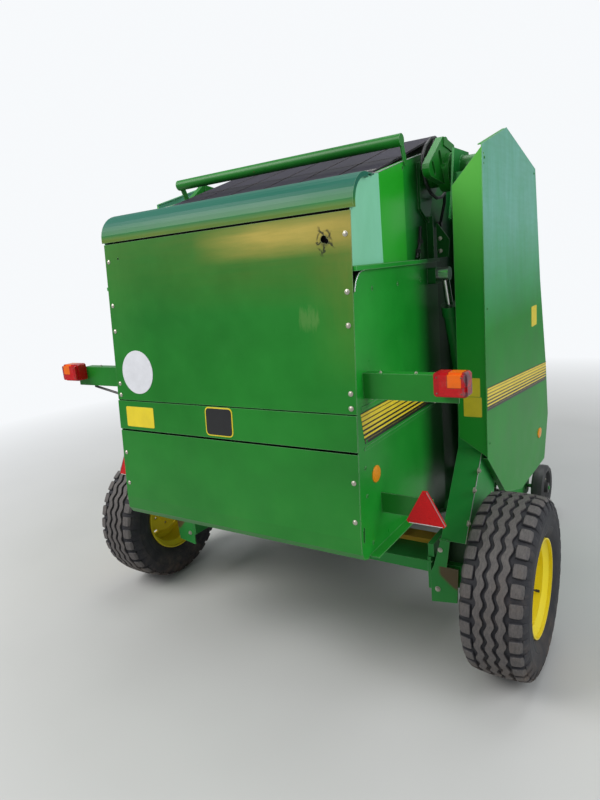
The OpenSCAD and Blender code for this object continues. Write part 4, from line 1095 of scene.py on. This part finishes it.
class BALER_OT_gate_signs(bpy.types.Operator):
    """Blank speed disc, blank plates, bare badge, stripe bands and reflectors of the gate"""
    bl_idname = "baler.gate_signs"
    bl_label = "Tail Gate Signs"

    def execute(self, context):
        for name, finish, corners, thick, x, z, lift in (
                ("speed_disc", "white", oval_corners(0.200, 0.200, 48), 0.0016,
                 -0.490, 1.355, 0.0002),
                ("band_plate", "plate", rounded_corners(0.180, 0.095, 0.006), 0.0012,
                 -0.495, 1.147, 0.0032),
                ("badge_rim", "plate", rounded_corners(0.150, 0.124, 0.020), 0.0012,
                 -0.015, 1.156, 0.0032),
                ("badge_field", "dark", rounded_corners(0.139, 0.113, 0.016), 0.0012,
                 -0.015, 1.156, 0.0044)):
            plate(name, "gate", finish, corners, thick, on_rear(x, z, lift), REAR_NORMAL, 20)
        for side, name in SIDES:
            x = side * (GATE_X + FILM_GAP)
            band = stripe_band([(-0.505, 1.222), (-0.484, 1.100), (0.262, 1.100), (0.206, 1.222)],
                               x, side)
            finished(band, "gate_stripes_" + name, "gate", "stripes", 20)
            reflector("gate_reflector_" + name, "gate", 0.068, 0.066, 0.028,
                      at(x, -0.411, 0.960), side)
        return {"FINISHED"}


def stripe_band(corners, x, side):
    """A thin striped film on an upright sheet, its UV running along and across it."""
    obj = divided(begin(bpy.ops.mesh.primitive_plane_add, size=1), 3)
    top0, low0, low1, top1 = (Vector(corner) for corner in corners)
    layer = obj.data.uv_layers.active
    for loop in obj.data.loops:
        co = obj.data.vertices[loop.vertex_index].co
        layer.data[loop.index].uv = (co.x + 0.5, co.y + 0.5)
    for vert in obj.data.vertices:
        u, v = vert.co.x + 0.5, vert.co.y + 0.5
        y, z = low0.lerp(low1, u).lerp(top0.lerp(top1, u), v)
        vert.co = at(x, y, z)
    if sum(p.normal.x for p in obj.data.polygons) * side < 0:
        obj.data.flip_normals()
    pick(obj, "FACE", every)
    bpy.ops.mesh.extrude_region_move(TRANSFORM_OT_translate={"value": (side * 0.0007, 0, 0)})
    leave()
    return outward(obj)


class BALER_OT_lamps(bpy.types.Operator):
    """Trim, screws and wiring of the tail lamps and triangles"""
    bl_idname = "baler.lamps"
    bl_label = "Lamps"

    def execute(self, context):
        for side, name in SIDES:
            plate("lamp_back_" + name, "gate", "plastic", rounded_corners(0.040, 0.070, 0.010),
                  0.012, at(side * 1.0155, -0.4702, 1.3425), (0, 1, 0))
            spots = [(at(side * x, LENS_Y, z), (0, -1, 0), 0.0026)
                     for z in (1.316, 1.369) for x in (0.940, 1.022)]
            fastenings("lens_screws_" + name, "gate", dome_bolt, spots, "rusty")
            rims = [rod(route([(x0, TRIANGLE_Y, z0), (x1, TRIANGLE_Y, z1)], side), 0.0016)
                    for x0, z0, x1, z1 in ((0.8295, 0.901, 0.8985, 0.775),
                                           (0.756, 0.7695, 0.888, 0.7695))]
            finished(joined(rims), "triangle_rim_" + name, "gate", "pale")
            bar("lamp_wire_" + name, "gate", "hose", 0.0040,
                ((0.984, -0.4640, 1.330), (0.955, -0.4500, 1.297), (0.925, -0.4400, 1.284),
                 (0.80, -0.436, 1.2825), (0.70, -0.436, 1.2825), (0.6405, -0.434, 1.286)), side)
        bar("lamp_stay", "gate", "black", 0.006,
            ((-0.900, -0.450, 1.262), (-0.642, LAMP_ARM_Y, 1.212)))
        return {"FINISHED"}


SHIELD_OUTLINE = [(0.146, 0.868), (0.150, 2.167), (0.530, 2.277), (1.093, 2.150), (1.207, 1.581),
                  (1.363, 1.071), (1.423, 0.753), (1.321, 0.494), (0.752, 0.508), (0.433, 0.609)]


class BALER_OT_shields(bpy.types.Operator):
    """Stripe bands, blank plates, reflectors and fastenings of the side shields"""
    bl_idname = "baler.shields"
    bl_label = "Side Shields"

    def execute(self, context):
        for side, name in SIDES:
            body = "shield_" + name
            x = side * (SHIELD_X + FILM_GAP)
            band = stripe_band([(0.157, 1.184), (0.151, 1.082), (1.352, 0.978), (1.362, 1.086)],
                               x, side)
            finished(band, "shield_stripes_" + name, body, "stripes", 20)
            plate("shield_plate_" + name, body, "plate", rounded_corners(0.122, 0.108, 0.006),
                  0.0010, at(x, 1.052, 1.392), (side, 0, 0), 20)
            reflector("shield_reflector_" + name, body, 0.092, 0.058, 0.026,
                      at(x, 1.180, 0.695), side)
            signs = [placed(flat_shape(rounded_corners(w, h, 0.005), 0.0010),
                            at(side * 0.842, 0.1498, z), (0, -1, 0))
                     for z, h, w in ((1.1855, 0.083, 0.068), (1.098, 0.089, 0.080))]
            finished(joined(signs), "flange_plates_" + name, body, "plate", 20)
            bar("shield_edge_" + name, body, "shield", 0.0021,
                [(SHIELD_X - 0.002, y, z) for y, z in SHIELD_OUTLINE + SHIELD_OUTLINE[:1]], side)
            spots = sideways(side, SHIELD_X + FILM_GAP, ((0.178, 0.93), (0.178, 1.52),
                                                         (0.178, 2.12), (1.06, 2.125)), 0.0060)
            fastenings("shield_bolts_" + name, body, dome_bolt, spots, "green")
        # the left shield's own catch; the right one is missing
        x = -SHIELD_X - FILM_GAP
        latch = placed(flat_shape(rounded_corners(0.060, 0.130, 0.014), 0.006),
                       at(x, 0.235, 1.300), (-1, 0, 0))
        grip = rod([at(x - out, 0.235, z) for out, z in ((0.006, 1.250), (0.020, 1.262),
                                                         (0.020, 1.338), (0.006, 1.350))], 0.0050)
        finished(joined([latch, grip]), "shield_latch_left", "shield_left", "zinc")
        return {"FINISHED"}


class BALER_OT_frame_fittings(bpy.types.Operator):
    """Bolts, welds, pale edge lines of painted highlight, webs in painted shade and oil pipes of the
    frame and its posts
    """
    bl_idname = "baler.frame_fittings"
    bl_label = "Frame Fittings"

    def execute(self, context):
        post_x, wall_x, rail_x, bracket_y = 0.872, 0.636, 0.726, -0.092
        spots = []
        for side in (1, -1):
            for x, radius, places in (
                    (post_x, 0.011, ((0.041, 0.755), (0.109, 0.822), (-0.050, 0.640),
                                     (0.300, 0.640), (0.360, 0.900), (0.205, 1.150),
                                     (0.215, 1.420), (0.228, 1.750))),
                    (wall_x, 0.009, [(0.715, z) for z in (0.80, 1.20, 1.60, 2.00)]),
                    (rail_x, 0.011, [(y, 0.500) for y in (0.05, 0.35, 0.65, 0.95)])):
                spots += sideways(side, x, places, radius)
            for x, z, radius in ((0.760, 0.515, 0.009), (0.742, 0.325, 0.010)):
                spots.append((at(side * x, bracket_y, z), (0, -1, 0), radius))
        fastenings("frame_bolts", "root", hex_bolt, spots)
        beads = []
        for side in (1, -1):
            collar = 0.0585
            ring = [(0.761, 0.360 + collar * math.cos(a), 2.110 + collar * math.sin(a))
                    for a in [math.radians(15 * k) for k in range(25)]]
            for letter, radius, points in (
                    ("a", 0.0045, [(0.757, -0.0870, 0.562), (0.796, -0.0870, 0.562)]),
                    ("b", 0.0040, [(0.7545, 0.180, 1.905), (0.7545, 0.240, 2.088)]),
                    ("c", 0.0045, ring),
                    ("d", 0.0040, [(0.720, -0.0905, 0.451), (0.600, -0.0905, 0.451)])):
                beads.append(weld_bead("weld_%s%d" % (letter, side), route(points, side), radius))
        finished(joined(beads), "frame_welds", "root", "weld", 60)
        # pale lines along the posts' edges: worn bare edges with a painted highlight
        edge_highlights = [rod(route([(0.8705, 0.180, 0.900), (0.8705, -0.084, 0.560)], side), 0.0020)
                for side in (1, -1)]
        finished(joined(edge_highlights), "post_edge_highlights", "root", "pale")
        # web that closes each post's foot ahead of the bracket's rear plate, in painted shade
        for side, name in SIDES:
            plate("post_web_" + name, "root", "shaded", rounded_corners(0.098, 0.126, 0.003),
                  0.006, at(side * 0.816, -0.020, 0.4965), (0, -1, 0))
        # pipe run on the left wall
        pipe_x, pipes = 0.612, []
        for k, z in enumerate((2.020, 2.050)):
            course = ((0.470, z), (0.90, z - 0.02 * k), (0.985, z - 0.05), (1.01, 1.85),
                      (1.08, 1.42), (1.13, 1.16))
            pipes.append(rod([at(-pipe_x, y, height) for y, height in course], 0.0060))
        finished(joined(pipes), "oil_pipes", "root", "black")
        fastenings("pipe_clips", "root", hex_bolt,
                   sideways(-1, pipe_x + 0.007, ((0.60, 2.033), (0.85, 2.030), (1.045, 1.62)), 0.010))
        return {"FINISHED"}


class BALER_OT_drawbar_fittings(bpy.types.Operator):
    """Bolts, grease nipples, hose hook and guard rings of drawbar, gearbox and shaft"""
    bl_idname = "baler.drawbar_fittings"
    bl_label = "Drawbar Fittings"

    def execute(self, context):
        spots = []
        for side in (1, -1):
            spots += sideways(side, 0.050, [(y, z) for y in (2.985, 3.085) for z in (0.455, 0.505)],
                              0.013)
            spots += [(at(side * 0.105, y, 0.858), (0, 0, 1), 0.012) for y in (1.80, 1.86)]
            spots += [(at(0.100 + side * 0.018, 2.4448, z), (0, -1, 0), 0.008)
                      for z in (0.585, 0.655)]
        spots += [(at(side * 0.085, 1.3505, z), (0, -1, 0), 0.010)
                  for side in (1, -1) for z in (0.93, 1.08)]
        fastenings("drawbar_bolts", "root", hex_bolt, spots)
        shaft_z, lid_r = 1.010, 0.064
        lid = [(at(lid_r * math.cos(a), 1.605, shaft_z + lid_r * math.sin(a)), (0, 1, 0), 0.008)
               for a in ring_angles(6, 30)]
        fastenings("gearbox_bolts", "root", hex_bolt, lid)
        start, end = at(0, 1.608, shaft_z), at(0, 2.860, 0.760)
        rings = [placed(turned(32, radius, 0.012, 0, (0.0025, 0.0015), test=end_faces),
                        start.lerp(end, t), (end - start).normalized())
                 for t, radius in ((0.065, 0.0465), (0.075, 0.0455), (0.535, 0.0450),
                                   (0.925, 0.0400))]
        finished(joined(rings), "guard_rings", "root", "plastic")
        bar("hose_hook", "root", "black", 0.006,
            ((0.064, 2.20, 0.735), (0.085, 2.20, 0.740), (0.085, 2.28, 0.725),
             (0.064, 2.28, 0.716)))
        grease = [(at(0, y, z), (0, 0, 1), 0.006) for y, z in ((1.50, 1.105), (3.05, 0.5301))]
        fastenings("grease_nipples", "root", dome_bolt, grease)
        return {"FINISHED"}


BOX_FRONT = 1.5201
JACK = (0.150, 2.480)


class BALER_OT_box_fittings(bpy.types.Operator):
    """Catches, handle and screws of the twine box, and the fittings of the jack"""
    bl_idname = "baler.box_fittings"
    bl_label = "Twine Box and Jack Fittings"

    def execute(self, context):
        for side, name in SIDES:
            plate("box_catch_" + name, "root", "zinc", rounded_corners(0.028, 0.062, 0.006),
                  0.005, at(side * 0.38, BOX_FRONT, 1.575), (0, 1, 0))
        bar("lid_handle", "lid", "black", 0.0055,
            [(x, y, 1.628) for x, y in ((-0.07, 1.5315), (-0.07, 1.5500), (-0.055, 1.5560),
                                        (0.055, 1.5560), (0.07, 1.5500), (0.07, 1.5315))])
        spots = [(at(x, BOX_FRONT, z), (0, 1, 0), 0.0070)
                 for x in (-0.53, -0.18, 0.18, 0.53) for z in (1.290, 1.590)]
        fastenings("box_bolts", "root", dome_bolt, spots, "green")
        cap = placed(turned(24, 0.034, 0.006, 0, (0.006, 0.003)), at(*JACK, 0.858), (0, 0, 1))
        finished(cap, "jack_cap", "root", "frame")
        tube = 0.0405
        seam = [at(JACK[0] + tube * math.cos(a), JACK[1] + tube * math.sin(a), 0.0335)
                for a in [math.radians(20 * k) for k in range(19)]]
        finished(weld_bead("foot", seam, 0.0035), "jack_foot_weld", "jack", "rusty", 60)
        return {"FINISHED"}


class BALER_OT_pickup_fittings(bpy.types.Operator):
    """Bolts of the pickup and nuts of its gauge wheels"""
    bl_idname = "baler.pickup_fittings"
    bl_label = "Pickup Fittings"

    def execute(self, context):
        spots = []
        for side in (1, -1):
            spots += sideways(side, 0.740, ((1.060, 0.600), (1.16, 0.52), (1.20, 0.235),
                                            (1.36, 0.175), (1.60, 0.175), (1.60, 0.480),
                                            (1.36, 0.585)), 0.009)
        fastenings("pickup_bolts", "pickup", hex_bolt, spots)
        nuts = [(1.610 + 0.060 * math.cos(a), 0.190 + 0.060 * math.sin(a))
                for a in ring_angles(4, 45)]
        for side, name in SIDES:
            fastenings("gauge_nuts_" + name, "gauge_" + name, hex_bolt,
                       sideways(side, 0.842, nuts, 0.008))
        return {"FINISHED"}


BELT_SPACING = 0.19183
LINK_SPACING = 0.0112


class BALER_OT_belts(bpy.types.Operator):
    """Hinged lacing across each forming belt"""
    bl_idname = "baler.belts"
    bl_label = "Belt Lacing"

    def execute(self, context):
        for body, name, node, (y, z), out in (
                ("gate", "gate_lacing", "gate_belts", (-0.10, 2.083), Vector((0, -0.32, 0.95))),
                ("root", "frame_lacing", "frame_belts", (0.72, 2.19), Vector((0, 0.55, 0.83)))):
            link = begin(bpy.ops.mesh.primitive_cube_add, size=1)
            pick(link, "FACE", every)
            bpy.ops.mesh.bevel(offset=0.18, segments=1)
            leave()
            for vert in link.data.vertices:
                vert.co = (vert.co.x * 0.0065, vert.co.y * 0.034, vert.co.z * 0.0022)
            spots = []
            for x in [(k - 2.5) * BELT_SPACING + (j - 7) * LINK_SPACING
                      for k in range(6) for j in range(15)]:
                hit, place, normal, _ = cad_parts[node].ray_cast(
                    at(x, y, z) + out * 0.25, -out, distance=0.5)
                if hit:
                    spots.append(oriented(place + normal * 0.0006, normal, 1.0, (0, 1, 0)))
            if not spots:
                raise RuntimeError("the lacing found no belt under it")
            finished(copies(link, spots), name, body, "steel", 30)
        return {"FINISHED"}


class BALER_OT_cylinders(bpy.types.Operator):
    """Oil ports and end rings of the lift cylinders"""
    bl_idname = "baler.cylinders"
    bl_label = "Lift Cylinders"

    def execute(self, context):
        foot, eye = Vector((0.640, 0.600)), Vector((0.250, 1.675))
        along = (eye - foot).normalized()
        for side, name in SIDES:
            body = "barrel_" + name
            ring = turned(32, 0.0375, 0.014, 0, (0.004, 0.002), test=end_faces)
            placed(ring, at(side * 0.700, *(foot + along * 0.120)), (0, *along), (1, 0, 0))
            finished(ring, "cylinder_ring_" + name, body, "frame")
            fastenings("cylinder_port_" + name, body, hex_bolt,
                       sideways(side, 0.748, [foot + along * 0.090], 0.011))
        return {"FINISHED"}


class BALER_OT_finishes(bpy.types.Operator):
    """Paint, rubber, steel and film for every part that came from the model"""
    bl_idname = "baler.finishes"
    bl_label = "Finishes"

    def execute(self, context):
        FINISH.update(build_finishes())
        plan = {
            "rear": "rear_panel_upper",
            "band": "rear_band rear_panel_lower lamp_arms",
            "cover": "gate_cover",
            "side": "gate_side_left gate_side_right",
            "shield": "shield_left shield_right",
            "green": "gate_tube front_panel twine_box twine_lid tension_arms top_tube",
            "frame": "axle_beam axle_arms side_rails frame_posts frame_wall_left "
                     "frame_wall_right front_beam frame_brackets drawbar gearbox jack_tube "
                     "lift_barrel_left lift_barrel_right pickup_frame stripper_bands wind_guard",
            "yellow": "rim_left rim_right",
            "bar": "yellow_bar",
            "belt": "frame_belts gate_belts",
            "steel": "frame_rollers gate_rollers jack_leg pickup_reel",
            "chain": "drive_chain",
            "chrome": "lift_rod_left lift_rod_right",
            "plastic": "driveline",
            "hose": "hose_loop gate_hose",
            "lens": "lamps",
            "red": "triangles",
            "black": "gauge_wheel_left gauge_wheel_right",
        }
        for finish, nodes in plan.items():
            for node in nodes.split():
                dress(node, finish)
        return {"FINISHED"}


def studio_floor():
    """Pale grey by the machine, fading to the plain background where the camera looks on."""
    f = Finish("studio_floor")
    x, y, _ = f.axes()
    tone = f.mix(f.kept(f.noise(0.7, 3), 0.3, 0.7), (0.50, 0.50, 0.49), (0.54, 0.54, 0.53))
    away = f.math("SQRT", x * x + y * y)
    seen = Value(f, f.node("ShaderNodeLightPath").outputs["Is Camera Ray"])
    ground = f.node("ShaderNodeBsdfPrincipled", None, {"Base Color": tone, "Roughness": 0.85})
    plain = f.node("ShaderNodeEmission", None, {"Color": (*BACKGROUND, 1.0), "Strength": 1.0})
    blend = f.node("ShaderNodeMixShader", None,
                   {0: f.kept(away, 2.6, 6.5) * seen, 1: ground.outputs[0], 2: plain.outputs[0]})
    f.node("ShaderNodeOutputMaterial", None, {"Surface": blend.outputs[0]})
    return f.owner


class BALER_OT_stage(bpy.types.Operator):
    """Pale floor, soft studio light and the camera"""
    bl_idname = "baler.stage"
    bl_label = "Stage"

    def execute(self, context):
        s = context.scene.baler_stage
        floor = divided(begin(bpy.ops.mesh.primitive_plane_add, size=120), 2)
        floor.name = floor.data.name = "studio_floor"
        floor.data.materials.append(studio_floor())
        sky = Shading(bpy.data.worlds.new("studio"))
        context.scene.world = sky.owner
        light = sky.node("ShaderNodeBackground", None, {0: (0.93, 0.97, 1.0, 1), 1: s.sky})
        plain = sky.node("ShaderNodeBackground", None, {0: (*BACKGROUND, 1), 1: 1.0})
        seen = sky.node("ShaderNodeLightPath").outputs["Is Camera Ray"]
        blend = sky.node("ShaderNodeMixShader", None,
                         {0: seen, 1: light.outputs[0], 2: plain.outputs[0]})
        sky.node("ShaderNodeOutputWorld", None, {0: blend.outputs[0]})
        for name, place, aim, size, power, colour in (
                ("key", (-3.5, -5.5, 6.0), (0, -0.6, 1.0), 4.5, 1.0, (1, 0.985, 0.96)),
                ("side", (6.5, -1.0, 4.5), (0, 0, 1.0), 4.0, 0.46, (0.95, 0.98, 1)),
                ("top", (0.5, 1.5, 7.5), (0, 0, 1.0), 5.0, 0.42, (0.97, 0.985, 1))):
            lamp = bpy.data.lights.new(name, "AREA")
            lamp.shape = "SQUARE"
            lamp.size = size
            lamp.energy = s.key * power
            lamp.color = colour
            holder = linked(name, lamp)
            holder.location = place
            holder.rotation_mode = "QUATERNION"
            holder.rotation_quaternion = (Vector(aim) - Vector(place)).to_track_quat("-Z", "Y")
        # the camera stands where the photo's camera stood
        eye = at(1.636, -2.364, 1.756)
        yaw, pitch, roll = (math.radians(a) for a in (34.04, -12.43, -5.147))
        ahead = Vector((-math.sin(yaw) * math.cos(pitch), math.cos(yaw) * math.cos(pitch),
                        math.sin(pitch)))
        right = Vector((math.cos(yaw), math.sin(yaw), 0))
        above = right.cross(ahead)
        tilted = right * math.cos(roll) + above * math.sin(roll)
        crown = above * math.cos(roll) - right * math.sin(roll)
        data = bpy.data.cameras.new("camera")
        data.lens = s.lens
        data.clip_start, data.clip_end = 0.05, 200
        camera = linked("camera", data)
        turn = Matrix((tilted, crown, -ahead)).transposed().to_4x4()
        camera.matrix_world = Matrix.Translation(eye) @ turn
        context.scene.camera = camera
        context.scene.view_settings.view_transform = "Standard"
        return {"FINISHED"}


STEPS = (BALER_OT_stage, BALER_OT_finishes, BALER_OT_tyres, BALER_OT_wheel_fittings,
         BALER_OT_gate_fittings, BALER_OT_gate_signs, BALER_OT_lamps, BALER_OT_shields,
         BALER_OT_frame_fittings, BALER_OT_drawbar_fittings, BALER_OT_box_fittings,
         BALER_OT_pickup_fittings, BALER_OT_belts, BALER_OT_cylinders)


class BALER_PT_panel(bpy.types.Panel):
    """The baler's settings and the steps that build it"""
    bl_idname = "BALER_PT_panel"
    bl_label = "Round Baler"
    bl_space_type = "VIEW_3D"
    bl_region_type = "UI"
    bl_category = "Baler"

    def draw(self, context):
        scene = context.scene
        for title, group in (("Wheels", scene.baler_wheels), ("Paint", scene.baler_paint),
                             ("Stage", scene.baler_stage)):
            box = self.layout.box()
            box.label(text=title)
            for name in group.__annotations__:
                box.prop(group, name)
        column = self.layout.column()
        for step in STEPS:
            column.operator(step.bl_idname)


CLASSES = (BalerWheelSettings, BalerPaintSettings, BalerStageSettings, *STEPS, BALER_PT_panel)


def register():
    for cls in CLASSES:
        bpy.utils.register_class(cls)
    bpy.types.Scene.baler_wheels = PointerProperty(type=BalerWheelSettings)
    bpy.types.Scene.baler_paint = PointerProperty(type=BalerPaintSettings)
    bpy.types.Scene.baler_stage = PointerProperty(type=BalerStageSettings)


def unregister():
    del bpy.types.Scene.baler_stage
    del bpy.types.Scene.baler_paint
    del bpy.types.Scene.baler_wheels
    for cls in reversed(CLASSES):
        bpy.utils.unregister_class(cls)


def main():
    register()
    for step in STEPS:
        group, name = step.bl_idname.split(".")
        getattr(getattr(bpy.ops, group), name)()


if __name__ == "__main__":
    main()
